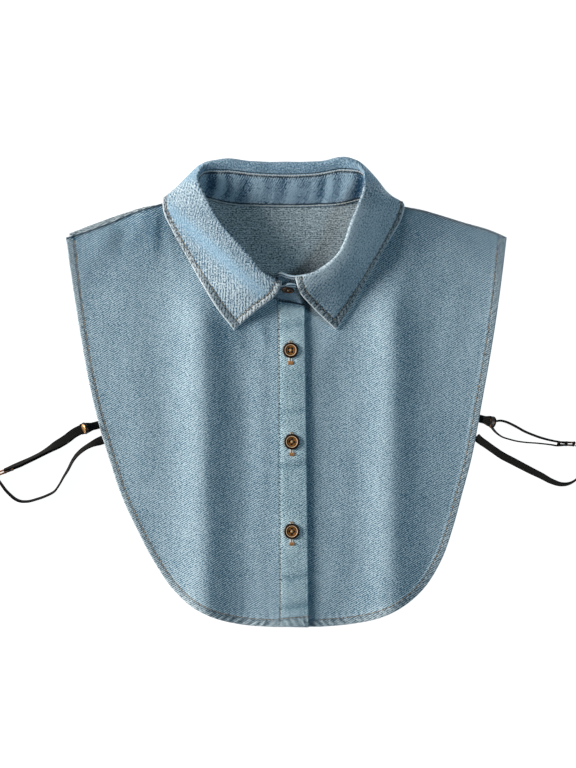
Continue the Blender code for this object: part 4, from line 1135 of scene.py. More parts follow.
def collar_controls():
    """The sections of the collar, each from the seam over the joint and the roll to the edge."""
    sections = []
    for i, row in enumerate(COLLAR):
        c = dict(zip(COLLAR_COLUMNS, row, strict=True))
        seam = np.array([c["seam_x"], c["seam_y"], seam_height(i)])
        roll, side, low, edge = (
            np.array([c[f"{p}_x"], c[f"{p}_y"], c[f"{p}_z"]]) for p in ("roll", "side", "low", "edge")
        )
        sections.append([seam, seam + (roll - seam) * c["joint"], roll, side, low, edge])
    return np.array(sections)


def blend_sections(sections, step, fine_ends=False):
    """Sections between the given ones, about a step apart and closer at both ends if asked."""
    spacing = np.linalg.norm(np.diff(sections, axis=0), axis=2).mean(axis=1)
    knots = np.concatenate([[0.0], np.cumsum(spacing)])
    places = shares_for(knots[-1], step, fine_ends, fine_ends) * knots[-1]
    flat = along(knots, sections.reshape(len(sections), -1), places)
    return flat.reshape(len(places), *sections.shape[1:])


def across_section(controls, places):
    knots = lengths(controls)
    return along(knots, controls, places * knots[-1])


def along_rows(grid):
    """How far along the collar each point of a grid is."""
    return np.stack([lengths(grid[:, k]) for k in range(grid.shape[1])], axis=1)


def two_faces(grid, normal, near, height):
    """Both faces of the collar's cloth, drawn together at its edges, the first one in relief."""
    half = COLLAR_CLOTH * (0.5 - rounding(near, 0.9) * 0.42)
    return grid + normal * (half + height)[..., None], grid - normal * half[..., None]


def rest_on_fronts(grid):
    """Keep the leaves of the fall above the fronts."""
    x, y = grid[..., 0], grid[..., 1]
    clear = COLLAR_CLOTH / 2 + 0.7
    on_left = np.maximum(front_top(x, y, "left"), 0) + clear
    on_right = front_top(x, y, "right") + clear
    lowest = np.where(x < 0, on_left, on_right)
    inside = (grid[..., 2] > 4.4) & (y < 147.5)
    grid[..., 2] = np.where(inside, np.maximum(grid[..., 2], lowest), grid[..., 2])
    return grid


def leaf_tone_and_roll_highlight(x, y, t):
    """Tone of the fall's two leaves, at distances t from the joint: a painted highlight along the lit roll of
    the right leaf, and lighter and darker bands along both.
    """
    left = -0.4 * bump(t, 2.6, 1.2) + np.interp(y, (48, 80, 105, 150), (0.30, 0.12, -0.18, -0.24))
    # the band along the right leaf's roll is a painted highlight
    right = 0.5 * bump(t, 6.0, 5.0) + np.interp(y, (60, 110), (-0.06, 0.34))
    return ease((150.0 - y) / 12.0) * np.where(x > 0, right, left)


def leaf_sheen(x, y, t, inside, seen, top_strip):
    """How smooth and how blue the fall is, inside being the distance from its stitches."""
    start, end = (np.array(p) for p in CALM_BAND)
    ahead = (end - start) / np.linalg.norm(end - start)
    off = (x - start[0]) * -ahead[1] + (y - start[1]) * ahead[0]
    stripe = bump(off, 0.0, 5.5) * (x < 0) * seen * ease(inside / 4.0)
    right = ease((x - 14.0) / 26.0)
    calm = np.maximum(np.maximum(stripe, 0.9 * right), 0.95 * top_strip)
    calm = np.maximum(calm, 0.55 * ease((y - 100.0) / 40.0))
    calm = calm - 0.35 * (x < 0) * ease((100.0 - y) / 20.0) * (1 - stripe)
    blue = 0.22 * right * (1 - top_strip) * (1 - bump(t, 6.0, 6.0)) * ease(inside / 3.0)
    return calm, stripe + blue + 0.6 * top_strip


def collar_fall(material):
    """The fall, with its upper face, the face's directions, and the places along and across it."""
    sections = blend_sections(collar_controls(), FALL_STEPS[0], True)
    places = shares_for(FALL_ACROSS, FALL_STEPS[1], False, True)
    grid = np.array([across_section(s, places) for s in sections[:, 1:]])
    grid[..., 2] = np.maximum(grid[..., 2], COLLAR_CLOTH / 2)
    grid = rest_on_fronts(grid)
    normal = normals_of(grid)
    normal *= np.sign(normal[len(grid) // 4, -8, 2])
    x, y = grid[..., 0], grid[..., 1]
    s = along_rows(grid)
    t = np.array([lengths(line) for line in grid])  # across, from the joint
    edge = np.repeat(s[:, -1:], grid.shape[1], axis=1)
    from_edge, from_front = t[:, -1:] - t, np.minimum(s, s[-1:] - s)
    by_edge = from_edge < from_front
    distance = np.minimum(from_edge, from_front)
    place = np.where(by_edge, edge, t + 3.0)
    stitch = np.where(by_edge, between(FALL_STITCH, grid[:, -1:, 1]), FRONT_INSET)
    seen = ease((grid[..., 2] - 2.4) / 3.0)

    groove = bump(distance, stitch, 0.8)
    turns = place / FALL_ROPE_PITCH
    rope = roping(turns + distance * 0.12 + 0.3 * np.sin(place / 13.0), distance, stitch, 0.3)
    pucker = puckers(turns + 0.25 * np.sin(place / 9.0), distance, stitch + 1.8, 1.6)
    swell = 0.16 * np.sin(edge / 9.0 + t / 6.0) * np.sin(t / 14.0 + 1.0) + 0.10 * np.sin(edge / 4.1 - t / 9.0)
    height = (0.22 * rope + 0.07 * pucker - 0.45 * groove + 0.10 * bump(distance, 1.6, 1.4)
              + swell * ease((distance - 4.0) / 8.0)) * seen
    upper, lower = two_faces(grid, normal, distance, height)
    for face in (upper, lower):
        face[..., 2] = np.maximum(face[..., 2], 0.0)

    top_strip = ease((y - 158.0) / 8.0)  # the roll behind the neck
    wear = (0.8 * bump(distance, 0.1, 0.6) + np.where(by_edge, 0.62, 0.4) * rope - 0.34 * top_strip
            - np.where(x > 0, 0.25, -0.12) * ease(distance / 1.2) * ease((stitch - distance) / 0.8)
            - 1.3 * groove * (0.65 + 0.35 * np.sin(place * 2.0)) + 0.3 * pucker) * seen
    calm, bloom = leaf_sheen(x, y, t, distance - stitch, seen, top_strip)
    made = wall("collar_fall_cloth", upper, lower, material, laid_flat(grid, t), calm=calm, bloom=bloom,
                wear=wear + leaf_tone_and_roll_highlight(x, y, t), scuff=0.8 * (1 - ease(distance - stitch + 0.2)) * seen)
    return made, upper, normal, s, t


def meeting(a, b, from_a, from_b):
    """The point at these distances from a and b, on the left of the way from a to b."""
    far = np.linalg.norm(b - a)
    way = (b - a) / far
    ahead = (far**2 + from_a**2 - from_b**2) / (2 * far)
    aside = math.sqrt(max(from_a**2 - ahead**2, 0.0))
    return a + way * ahead + np.array([-way[1], way[0]]) * aside


def laid_flat(grid, t):
    """Cloth coordinates of the bent fall: its sections laid out flat, one after another."""
    outer, inner = grid[:, LAY_COLUMNS[0]], grid[:, LAY_COLUMNS[1]]

    def far(p, q):
        return np.linalg.norm(p - q)

    a, b = [np.zeros(2)], [np.array([far(inner[0], outer[0]), 0.0])]
    for i in range(1, len(grid)):
        b.append(meeting(a[-1], b[-1], far(inner[i], outer[i - 1]), far(inner[i], inner[i - 1])))
        a.append(meeting(a[-1], b[-1], far(outer[i], outer[i - 1]), far(outer[i], inner[i])))
    a, b = np.array(a), np.array(b)
    way = (b - a) / np.linalg.norm(b - a, axis=1, keepdims=True)
    flat = a[:, None] + way[:, None] * (t[:, LAY_COLUMNS[0]][:, None] - t)[..., None]
    row = len(grid) // 5  # the left leaf keeps its threads where they point on the table
    real = (inner[row] - outer[row])[:2]
    turn = math.atan2(real[1], real[0]) - math.atan2(way[row, 1], way[row, 0])
    spin = np.array([[math.cos(turn), math.sin(turn)], [-math.sin(turn), math.cos(turn)]])
    return (flat - flat[row, -1]) @ spin + grid[row, -1, :2]


def stand_lines():
    """The stand's foot and top, from its overlapping end round the neck to its underlapping end."""
    sections = blend_sections(collar_controls(), STAND_STEPS[0])
    seam, joint = sections[:, 0], sections[:, 1]
    up = (joint - seam) / np.linalg.norm(joint - seam, axis=1, keepdims=True)
    round_neck = np.stack([seam, joint - up * (GAP + 0.6)], axis=1)
    over = [[(x, y, float(placket_top(x, y)) + above), top] for x, y, above, *top in OVER_END]
    under = [[(x, y, z), top] for x, y, z, *top in UNDER_END]
    start = blend_sections(np.array([*over, *round_neck[:8:7]]), 1.6)
    start = start[start[:, 0, 0] > round_neck[0, 0, 0] + 0.8]
    half = len(round_neck) // 2
    last = half + int(np.argmin(np.abs(round_neck[half:, 0, 0] - UNDERLAP_FROM)))
    end = blend_sections(np.array([*round_neck[last - 8 : last : 7], *under]), 1.6)
    end = end[end[:, 0, 0] < round_neck[last - 1, 0, 0] - 0.8]
    return np.concatenate([start, round_neck[:last], end])


def collar_stand(material):
    """The stand, with its two faces, their directions, and the places along and up it."""
    lines = stand_lines()
    rise = shares_for(STAND_UP, STAND_STEPS[1], True, True)[None, :, None]
    grid = lines[:, :1] * (1 - rise) + lines[:, 1:] * rise
    normal = normals_of(grid)
    middle = len(grid) // 2
    normal *= np.sign(np.dot(normal[middle, 5], NECK_CENTRE - grid[middle, 5]))
    s = along_rows(grid)
    t = np.array([lengths(line) for line in grid])
    down, ends = t[:, -1:] - t, np.minimum(s, s[-1:] - s)
    near = np.minimum(np.minimum(t, down), ends)

    strong = between(STAND_PUCKER, grid[..., 0]) * ease((grid[..., 1] - 132.0) / 8.0)
    pucker = (np.sin(s / 2.3 + 0.8 * np.sin(s / 6.1)) + 0.6 * np.sin(s / 4.7 + 1.0)) * strong
    pucker = pucker * np.sin(np.pi * np.clip(t / t[:, -1:], 0, 1)) ** 0.6
    height = 0.30 * pucker - 0.3 * (bump(t, 1.2, 0.7) + bump(down, 1.2, 0.7))
    inner, outer = two_faces(grid, normal, near, height)

    front_part = ease((100.0 - grid[..., 1]) / 8.0) * ease((46.0 - ends) / 10.0)
    back_wear = (0.7 * pucker - 2.0 * (bump(t, 2.1, 0.6) + bump(down, 2.0, 0.6))
                 + bump(t, 0.9, 0.6) + bump(down, 0.9, 0.7))
    # on the stand's front ends: light rubbed lines along the top, and painted shadow along the foot where it
    # meets the placket
    front_rub_and_foot_shadow = (1.3 * bump(down, 0.3, 0.7) - 2.2 * bump(t, 0.3, 0.9) + 0.38 - 1.2 * bump(down, 1.7, 0.6)
                 + 0.9 * bump(down, 2.8, 0.5) - 0.7 * bump(down, 4.0, 0.8))
    scuff = 0.85 * np.maximum(bump(t, 2.1, 1.0), bump(down, 2.0, 1.0)) * (1 - front_part)
    made = wall("collar_stand_cloth", inner, outer, material, np.dstack([s, t]), scuff=scuff,
                wear=back_wear * (1 - front_part) + front_rub_and_foot_shadow * front_part)
    return made, inner, outer, normal, s, t


# ---------------------------------------------------------------- stitches
CLOTHS = {}  # the cloths made so far, as far as their stitches need them

STITCH_SIZES = {
    "Pitch": 0.003, "Stitch length": 0.0024, "Thread radius": 0.0003, "Arch": 0.0003, "Turn": 0.0,
    "Hole size": 0.0005,
}


def stitch_tree():
    """Geometry nodes that lay arched stitches, with dark pits of painted shadow for their needle holes, along
    a path.
    """
    tree = bpy.data.node_groups.new("lay stitches", "GeometryNodeTree")
    face = tree.interface
    face.new_socket("Geometry", in_out="INPUT", socket_type="NodeSocketGeometry")
    for name, default in STITCH_SIZES.items():
        face.new_socket(name, in_out="INPUT", socket_type="NodeSocketFloat").default_value = default
    for name in ("Thread", "Hole"):
        face.new_socket(name, in_out="INPUT", socket_type="NodeSocketMaterial")
    face.new_socket("Geometry", in_out="OUTPUT", socket_type="NodeSocketGeometry")

    def add(kind, settings=None, **inputs):
        return add_node(tree, kind, settings, **inputs).outputs[0]

    def times(value, by):
        return add("ShaderNodeMath", {"operation": "MULTIPLY"}, i0=value, i1=by)

    given = add_node(tree, "NodeGroupInput").outputs
    path = add("GeometryNodeMeshToCurve", Mesh=given["Geometry"])
    points = add("GeometryNodeResampleCurve", {"mode": "LENGTH"}, Curve=path, Length=given["Pitch"])
    up = add("GeometryNodeInputNamedAttribute", {"data_type": "FLOAT_VECTOR"}, Name="up")
    first = add("FunctionNodeAlignRotationToVector", {"axis": "X"}, Vector=add("GeometryNodeInputTangent"))
    second = add("FunctionNodeAlignRotationToVector", {"axis": "Z", "pivot_axis": "X"}, Rotation=first,
                 Vector=up)
    spin = add("FunctionNodeAxisAngleToRotation", Axis=(0.0, 0.0, 1.0), Angle=given["Turn"])
    turned = add("FunctionNodeRotateRotation", {"rotation_space": "LOCAL"}, Rotation=second, i1=spin)

    half = times(given["Stitch length"], 0.5)
    sink = times(given["Thread radius"], -1.1)
    start = add("ShaderNodeCombineXYZ", X=times(half, -1.0), Z=sink)
    top = add("ShaderNodeCombineXYZ", Z=times(given["Arch"], 2.0))
    end = add("ShaderNodeCombineXYZ", X=half, Z=sink)
    arc = add("GeometryNodeCurveQuadraticBezier", Resolution=4, Start=start, Middle=top, End=end)
    round_thread = add("GeometryNodeCurvePrimitiveCircle", {"mode": "RADIUS"}, Resolution=6,
                       Radius=given["Thread radius"])
    stitch = add("GeometryNodeCurveToMesh", Curve=arc, Profile_Curve=round_thread, Fill_Caps=True)
    stitch = add("GeometryNodeSetShadeSmooth", Geometry=stitch)
    stitch = add("GeometryNodeSetMaterial", Geometry=stitch, Material=given["Thread"])

    # the needle holes: dark pits of painted shadow
    pit = add("GeometryNodeMeshUVSphere", Segments=6, Rings=4, Radius=given["Hole size"])
    pit = add("GeometryNodeTransform", Geometry=pit, Scale=(1.0, 0.8, 0.45))
    pit = add("GeometryNodeTransform", Geometry=pit, Translation=start)
    pit = add("GeometryNodeSetMaterial", Geometry=pit, Material=given["Hole"])
    both = tree.nodes.new("GeometryNodeJoinGeometry")
    for one in (stitch, pit):
        laid = add("GeometryNodeInstanceOnPoints", Points=points, Instance=one, Rotation=turned)
        tree.links.new(laid, both.inputs[0])
    real = add("GeometryNodeRealizeInstances", Geometry=both.outputs[0])
    tree.links.new(real, tree.nodes.new("NodeGroupOutput").inputs[0])
    return tree


def lay_stitches(name, paths, material, pitch=2.9, length=2.4, radius=0.34, arch=0.2, turn=0.0, hole=0.6):
    """Stitches along paths of points and the surface's directions there, as one plain mesh."""
    points, edges, ups = [], [], []
    for line, up in paths:
        start = len(points)
        points += (np.asarray(line) * MM).tolist()
        ups += np.asarray(up, float).tolist()
        edges += [(start + k, start + k + 1) for k in range(len(line) - 1)]
    guide = bpy.data.meshes.new(name)
    guide.from_pydata(points, edges, [])
    attribute = guide.attributes.new("up", "FLOAT_VECTOR", "POINT")
    attribute.data.foreach_set("vector", np.array(ups, np.float32).ravel())
    made = bpy.data.objects.new(name, guide)
    bpy.context.scene.collection.objects.link(made)
    tree = bpy.data.node_groups.get("lay stitches") or stitch_tree()
    layer = made.modifiers.new("stitches", "NODES")
    layer.node_group = tree
    ids = {i.name: i.identifier for i in tree.interface.items_tree if i.in_out == "INPUT"}
    sizes = (pitch * MM, length * MM, radius * MM, arch * MM, math.radians(turn), hole * MM)
    values = dict(zip(STITCH_SIZES, sizes, strict=True))
    for key, value in (*values.items(), ("Thread", material), ("Hole", finish("needle hole"))):
        layer[ids[key]] = value
    return applied(made)


def sew(name, paths, colour, *sizes, **named_sizes):
    """Stitches in a thread of this colour, as a piece of the garment."""
    return dress(lay_stitches(name, paths, finish(colour), *sizes, **named_sizes), "denim")


def worn_edges(name, paths):
    """The white threads that show where a folded edge has rubbed."""
    made = None
    for path in paths:
        count = max(8, round(lengths(path)[-1] / 1.2))
        line = strand(name, read(path, np.linspace(0, 1, count)), WORN_RADIUS, finish("worn edge"))
        made = line if made is None else joined(made, line)
    return dress(made, "denim")


def surface_under(piece):
    """A piece's faces, for rays to hit."""
    bm = bmesh.new()
    bm.from_mesh(piece.data)
    tree = BVHTree.FromBMesh(bm)
    bm.free()
    return tree


def dropped(line, tree, above=0.05):
    """Points of a flat line laid on a surface from above, and the surface's directions there."""
    points, ups = [], []
    for x, y in line:
        hit, normal = tree.ray_cast(Vector((x * MM, y * MM, 0.2)), Vector((0, 0, -1)))[:2]
        if hit is not None:
            points.append((x, y, hit.z / MM + above))
            ups.append(tuple(normal))
    return np.array(points), np.array(ups)


def on_grid(grid, normal, rows, columns, above=0.05):
    """Points at fractional places of a grid, and its directions there."""
    rows, columns = np.asarray(rows, float), np.asarray(columns, float)
    r = np.clip(np.floor(rows).astype(int), 0, grid.shape[0] - 2)
    c = np.clip(np.floor(columns).astype(int), 0, grid.shape[1] - 2)
    a, b = (rows - r)[:, None], (columns - c)[:, None]

    def blend(values):
        return (values[r, c] * (1 - a) * (1 - b) + values[r, c + 1] * (1 - a) * b
                + values[r + 1, c] * a * (1 - b) + values[r + 1, c + 1] * a * b)

    up = blend(normal)
    up /= np.linalg.norm(up, axis=1, keepdims=True)
    return blend(grid) + up * above, up


def reached(lines, values):
    """For each line of rising lengths, the fractional place where it reaches its value."""
    values = np.broadcast_to(values, len(lines))
    return np.array([np.interp(value, line, np.arange(len(line)))
                     for value, line in zip(values, lines, strict=True)])


def hem_paths():
    """Round both fronts from the shoulders to the placket."""
    paths = []
    for side in ("left", "right"):
        piece, outline = CLOTHS[side]
        place = lengths(outline)
        line = moved_in(outline, between(HEM_STITCH, place / place[-1]))
        line = line[line[:, 1] < 117.0]
        x = line[:, 0]
        line = line[x < PLACKET_LEFT[1] - 0.5 if side == "left" else x > PLACKET_RIGHT[1] + 0.8]
        paths.append(dropped(read(line, np.linspace(0, 1, 300)), surface_under(piece)))
    return paths


def fall_paths():
    """Along the outer edge of both leaves, then along their front edges."""
    upper, normal, s, t = CLOTHS["fall"]
    rows = np.arange(len(upper))
    edge_columns = reached(t, t[:, -1] - between(FALL_STITCH, upper[:, -1, 1]))
    seen = (s[:, -1] > FRONT_INSET) & (s[:, -1] < s[-1, -1] - FRONT_INSET) & (upper[:, -1, 2] > 3.2)
    paths = []
    for leaf in (rows < len(rows) // 2, rows >= len(rows) // 2):
        picked = rows[leaf & seen]
        paths.append(on_grid(upper, normal, picked, edge_columns[picked]))
    columns = np.arange(4, int(edge_columns[3]) + 1)
    for line in (reached(s.T, FRONT_INSET), reached(s.T, s[-1] - FRONT_INSET)):
        paths.append(on_grid(upper, normal, line[columns], columns))
    return paths


def fall_rims():
    """The front edges of the fall's two leaves, then their outer edges."""
    upper, normal = CLOTHS["fall"][:2]
    rows, columns = np.arange(upper.shape[0]), np.arange(3, upper.shape[1])
    rims = [(np.full(len(columns), row), columns) for row in (0.6, len(rows) - 1.6)]
    seen = upper[:, -1, 2] > 3.6
    for leaf in (rows < len(rows) // 2, rows >= len(rows) // 2):
        picked = rows[leaf & seen]
        rims.append((picked, np.full(len(picked), upper.shape[1] - 1.6)))
    return [on_grid(upper, normal, *rim, -0.35)[0] for rim in rims]


def stand_paths():
    """Along the stand's foot and its top."""
    inner, _, normal, t = CLOTHS["stand"]
    rows = np.arange(2, len(inner) - 2)
    return [on_grid(inner, normal, rows, reached(t, at)[rows])
            for at in (STAND_INSET, t[:, -1] - STAND_INSET)]


def stand_rims():
    """Two lines near the top of the outside of both the stand's ends."""
    _, outer, normal, t = CLOTHS["stand"]
    first, last = np.arange(1, 24), np.arange(len(outer) - 24, len(outer) - 1)
    return [on_grid(outer, -normal, rows, reached(t, t[:, -1] - down)[rows], -0.1)[0]
            for rows in (first, last) for down in (0.4, 2.5)]


# ---------------------------------------------------------------- straps and metal
def band_frames(route, offset):
    """A strap's middle line, with its directions across and out of its flat side."""
    route = np.array(route, float)
    knots = lengths(route[:, :2])
    count = max(4, round(knots[-1] / STRAP_STEP))
    line = along(knots, route, np.linspace(0, knots[-1], count + 1))
    ahead = np.gradient(line[:, :2], axis=0)
    ahead /= np.linalg.norm(ahead, axis=1, keepdims=True)
    turn = np.radians(line[:, 2])
    level = np.stack([-ahead[:, 1], ahead[:, 0], np.zeros(len(line))], axis=1)
    up = np.array([0.0, 0.0, 1.0])
    side = level * np.cos(turn)[:, None] + up * np.sin(turn)[:, None]
    normal = -level * np.sin(turn)[:, None] + up * np.cos(turn)[:, None]
    height = (STRAP_WIDTH * np.abs(np.sin(turn)) + STRAP_THICK * np.abs(np.cos(turn))) / 2 + CLEAR
    centre = np.column_stack([line[:, :2], height]) + normal * offset
    return centre, side, normal


def band_section(width, thick, ribs=6):
    """A flat band's outline, with shallow ribs along it and round edges."""
    half = width / 2
    across = np.linspace(-half, half, 4 * ribs + 1)
    rise = 0.5 * thick * np.sqrt(np.clip(1 - (np.abs(across) / half) ** 8, 0, 1))
    rise = rise - 0.05 * (0.5 - 0.5 * np.cos(2 * np.pi * (across + half) / width * ribs)) * (rise > 0.3)
    rise = np.maximum(rise, 0.12)
    return np.vstack([np.column_stack([across, rise]), np.column_stack([across, -rise])[::-1]])


def band_uv(far, section):
    """Cloth coordinates of a band: along it, and across its section."""
    return np.stack(np.broadcast_arrays(far[:, None], section[None, :, 0]), axis=-1).reshape(-1, 2)


def band(name, route, material, offset=0.0):
    """A strap along its route, with its middle line."""
    centre, side, normal = band_frames(route, offset)
    section = band_section(STRAP_WIDTH, STRAP_THICK)
    loops = centre[:, None] + side[:, None] * section[None, :, :1] + normal[:, None] * section[None, :, 1:]
    return tube(name, loops, material, band_uv(lengths(centre), section)), centre


def tab(name, ends, material):
    """The doubled elastic end, drawn over the ring's wire and down into the ring."""
    start, end = (np.array([*p, 0.0]) for p in ends)
    long = np.linalg.norm(end - start)
    ahead = (end - start) / long
    side = np.array([-ahead[1], ahead[0], 0.0])
    up = np.array([0.0, 0.0, 1.0])
    shares = np.array([*np.linspace(0, 1, 12), *TAB_TIP])
    places, *shape = np.array(TAB_SHAPE).T
    foot, thick = (np.interp(shares, places, values) for values in shape)
    loops = []
    for share, low, tall in zip(shares, foot, thick, strict=True):
        section = band_section(TAB_WIDTH + TAB_SPREAD * ease((share - 0.6) / 0.5), tall, TAB_RIBS)
        middle = start + (end - start) * share + up * (TOUCH + low + tall / 2)
        loops.append(middle + side * section[:, :1] + up * section[:, 1:])
    return tube(name, loops, material, band_uv(shares * long, band_section(TAB_WIDTH, 1.0, TAB_RIBS)))


def ring(name, side, wire_finish, plate_finish):
    """A wire ring, closed by a small plate."""
    x, y, heading, lean = RINGS[side]
    turn = np.array(Euler((0.0, math.radians(lean), math.radians(heading)), "XYZ").to_matrix())
    height = RING_RADIUS * abs(math.sin(math.radians(lean))) + RING_WIRE + CLEAR
    place = np.array([x, y, height])
    angles, tilts = circle(RING_ROUND)[:, None], circle(WIRE_ROUND)
    wire = RING_RADIUS + RING_WIRE * np.cos(tilts)
    rise = np.broadcast_to(RING_WIRE * np.sin(tilts), (RING_ROUND, WIRE_ROUND))
    loops = np.stack([wire * np.cos(angles), wire * np.sin(angles), rise], axis=2)
    made = tube(name, loops @ turn.T + place, wire_finish, closed=True)
    plate = turned_loops(*np.array(RING_PLATE).T, RING_ROUND)
    return joined(made, tube(name + "_plate", plate @ turn.T + place, plate_finish))


def slider_frame(name):
    """A flat frame of rounded bars with a middle bar, lying at the origin."""
    half, deep = SLIDER_LENGTH / 2, SLIDER_WIDTH / 2
    xs = (-half, -half + SLIDER_BAR, -SLIDER_BAR / 2, SLIDER_BAR / 2, half - SLIDER_BAR, half)
    ys = (-deep, -deep + SLIDER_BAR, deep - SLIDER_BAR, deep)
    openings = {(1, 1), (3, 1)}
    bm = bmesh.new()
    points = {(i, j): bm.verts.new((x * MM, y * MM, -SLIDER_THICK / 2 * MM))
              for i, x in enumerate(xs) for j, y in enumerate(ys)}
    faces = [bm.faces.new((points[i, j], points[i + 1, j], points[i + 1, j + 1], points[i, j + 1]))
             for i in range(5) for j in range(3) if (i, j) not in openings]
    raised = bmesh.ops.extrude_face_region(bm, geom=faces)["geom"]
    raised = [part for part in raised if isinstance(part, bmesh.types.BMVert)]
    bmesh.ops.translate(bm, vec=(0, 0, SLIDER_THICK * MM), verts=raised)
    bmesh.ops.recalc_face_normals(bm, faces=bm.faces)
    mesh = bpy.data.meshes.new(name)
    bm.to_mesh(mesh)
    bm.free()
    made = bpy.data.objects.new(name, mesh)
    bpy.context.scene.collection.objects.link(made)
    soft = made.modifiers.new("rounded bars", "BEVEL")
    soft.width, soft.segments, soft.limit_method = SLIDER_ROUNDING * MM, 3, "ANGLE"
    return applied(made)


def slider(name, side, material, strap):
    """A slider whose three bars are each wrapped by the strap that is threaded on it."""
    x, y, heading, lean = SLIDERS[side]
    made = slider_frame(name)
    made.data.materials.append(material)
    ends = np.linspace(-1, 1, 15) * (SLIDER_WIDTH / 2 - SLIDER_BAR + 0.2)
    outer_bar = (SLIDER_LENGTH - SLIDER_BAR) / 2
    for at in (-outer_bar, 0.0, outer_bar):
        sleeve = np.stack([np.full(15, at), ends, np.zeros(15)], axis=1)
        joined(made, strand(name + "_sleeve", sleeve, SLEEVE_RADIUS, strap))
    tilt = math.radians(lean - SLIDER_SETTLE)
    height = (SLIDER_WIDTH * math.sin(tilt) + SLIDER_THICK * math.cos(tilt)) / 2 + 0.3
    turn = Euler((tilt, 0.0, math.radians(heading))).to_matrix().to_4x4()
    made.data.transform(Matrix.Translation((x * MM, y * MM, height * MM)) @ turn)
    made.data.shade_smooth()
    made.data.set_sharp_from_angle(angle=math.radians(40))
    return made


# ---------------------------------------------------------------- buttons
# Radius, height and painted light of a button's turned section, from its back round to its middle: painted
# shade at the edge and in the groove, a painted highlight on the rim
BUTTON_SECTION = (
    (4.6, 0.0, -0.2), (5.3, 0.08, -0.5), (5.85, 0.45, -0.6), (6.1, 0.95, -0.6), (6.1, 1.5, -0.6),
    (5.95, 1.85, -0.6), (5.65, 2.02, -0.6), (5.3, 2.08, -0.6), (4.75, 2.1, -0.5), (4.5, 2.15, 0.2),
    (4.4, 2.2, 1.35), (4.12, 2.18, 1.35), (4.0, 2.02, 0.4), (3.75, 1.62, -0.1), (3.5, 1.58, 0.2),
    (3.2, 1.66, 0.42), (2.8, 1.69, 0.40), (2.4, 1.60, 0.30), (1.8, 1.50, 0.25), (1.0, 1.42, 0.3),
    (0.35, 1.40, 0.4),
)


def place_of_node(node):
    """Foot, axis and size of a button's node, the size as a share of the button's usual height."""
    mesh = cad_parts[node].data
    points = np.unique(np.round(np.array([v.co[:] for v in mesh.vertices]) / MM, 3), axis=0)
    middle = points.mean(axis=0)
    axis = np.linalg.svd(points - middle, full_matrices=False)[2][2]
    axis *= np.sign(axis[2])
    tall = (points - middle) @ axis
    return middle + axis * tall.min(), axis, (tall.max() - tall.min()) / BUTTON_HEIGHT


def drill_holes(made):
    """The four holes for the thread."""
    drill = bmesh.new()
    for sx in (-1, 1):
        for sy in (-1, 1):
            place = Matrix.Translation((sx * HOLE_SPREAD * MM, sy * HOLE_SPREAD * MM, 0))
            bmesh.ops.create_cone(drill, cap_ends=True, segments=20, radius1=HOLE_DIAMETER / 2 * MM,
                                  radius2=HOLE_DIAMETER / 2 * MM, depth=8 * MM, matrix=place)
    mesh = bpy.data.meshes.new("drill")
    drill.to_mesh(mesh)
    drill.free()
    cutter = bpy.data.objects.new("drill", mesh)
    bpy.context.scene.collection.objects.link(cutter)
    cut = made.modifiers.new("thread holes", "BOOLEAN")
    cut.operation, cut.object = "DIFFERENCE", cutter
    applied(made)
    bpy.data.objects.remove(cutter)
    bpy.data.meshes.remove(mesh)


def button(name, node, material, strands, painted_shade=0.0, lean=0.0, shift=BUTTON_SHIFT):
    """A four-hole button turned to a rim, a groove and a dish, where its node is, sewn on crosswise."""
    foot, axis, size = place_of_node(node)
    radius, height, polish = np.array(BUTTON_SECTION).T
    # a button in shade is darkened by painted shade over its tone
    made = tube(name, turned_loops(radius, height, BUTTON_ROUND), material, sharp=50.0,
                polish=np.repeat(polish - painted_shade, BUTTON_ROUND))
    drill_holes(made)
    core = np.stack([np.zeros(3), np.zeros(3), np.linspace(0.5, 0.9, 3)], axis=1)  # painted shadow at the bottom of the holes
    joined(made, strand(name + "_core", core, 3.6, finish("needle hole")))
    shares, far = np.linspace(-1, 1, 13), HOLE_SPREAD * 0.95
    rise = 1.62 + 0.35 * (1 - shares**2) - 1.5 * np.abs(shares) ** 10
    for turn in (45.0, 135.0):
        u, v = math.cos(math.radians(turn)), math.sin(math.radians(turn))
        for aside in (-THREAD_ASIDE, THREAD_ASIDE):
            path = np.stack([u * far * shares - v * aside, v * far * shares + u * aside, rise], axis=1)
            joined(made, strand(name + "_thread", path, THREAD_RADIUS, strands))
    upright = Vector(axis).to_track_quat("Z", "Y").to_matrix().to_4x4()
    turn = Euler((math.radians(lean), 0.0, 0.0)).to_matrix().to_4x4() @ upright
    made.data.transform(Matrix.Translation(Vector((foot + shift) * MM)) @ turn @ Matrix.Scale(size, 4))
    return made


# ---------------------------------------------------------------- settings and operators
class CollarSettings(bpy.types.PropertyGroup):
    dark_thread: FloatVectorProperty(
        name="Dark thread", description="Colour of the indigo threads", subtype="COLOR", size=3,
        min=0, max=1, default=(0.010, 0.102, 0.178))
    light_thread: FloatVectorProperty(
        name="Light thread", description="Colour of the faded threads", subtype="COLOR", size=3,
        min=0, max=1, default=(0.632, 0.757, 0.80))
    lamp_power: FloatProperty(
        name="Lamp power", description="Power of the large low side lamp", default=108.0, min=0,
        unit="POWER")
    fill_power: FloatProperty(
        name="Fill power", description="Power of the lamp on the other side", default=15.0, min=0,
        unit="POWER")
    room_light: FloatProperty(
        name="Room light", description="Strength of the light from all around", default=0.03, min=0)
    floor_glow: FloatProperty(
        name="Floor glow", description="Light of the pale table's own", default=0.96, min=0)


class Piece:
    """What all the operators share."""

    bl_options = {"REGISTER"}


def put_camera(scene):
    """A camera that looks straight down."""
    data = bpy.data.cameras.new("camera")
    data.sensor_width = SENSOR
    data.lens = SENSOR * CAMERA_PLACE[2] / SEEN
    data.clip_end = 20.0
    camera = bpy.data.objects.new("camera", data)
    camera.location = CAMERA_PLACE
    scene.collection.objects.link(camera)
    scene.camera = camera


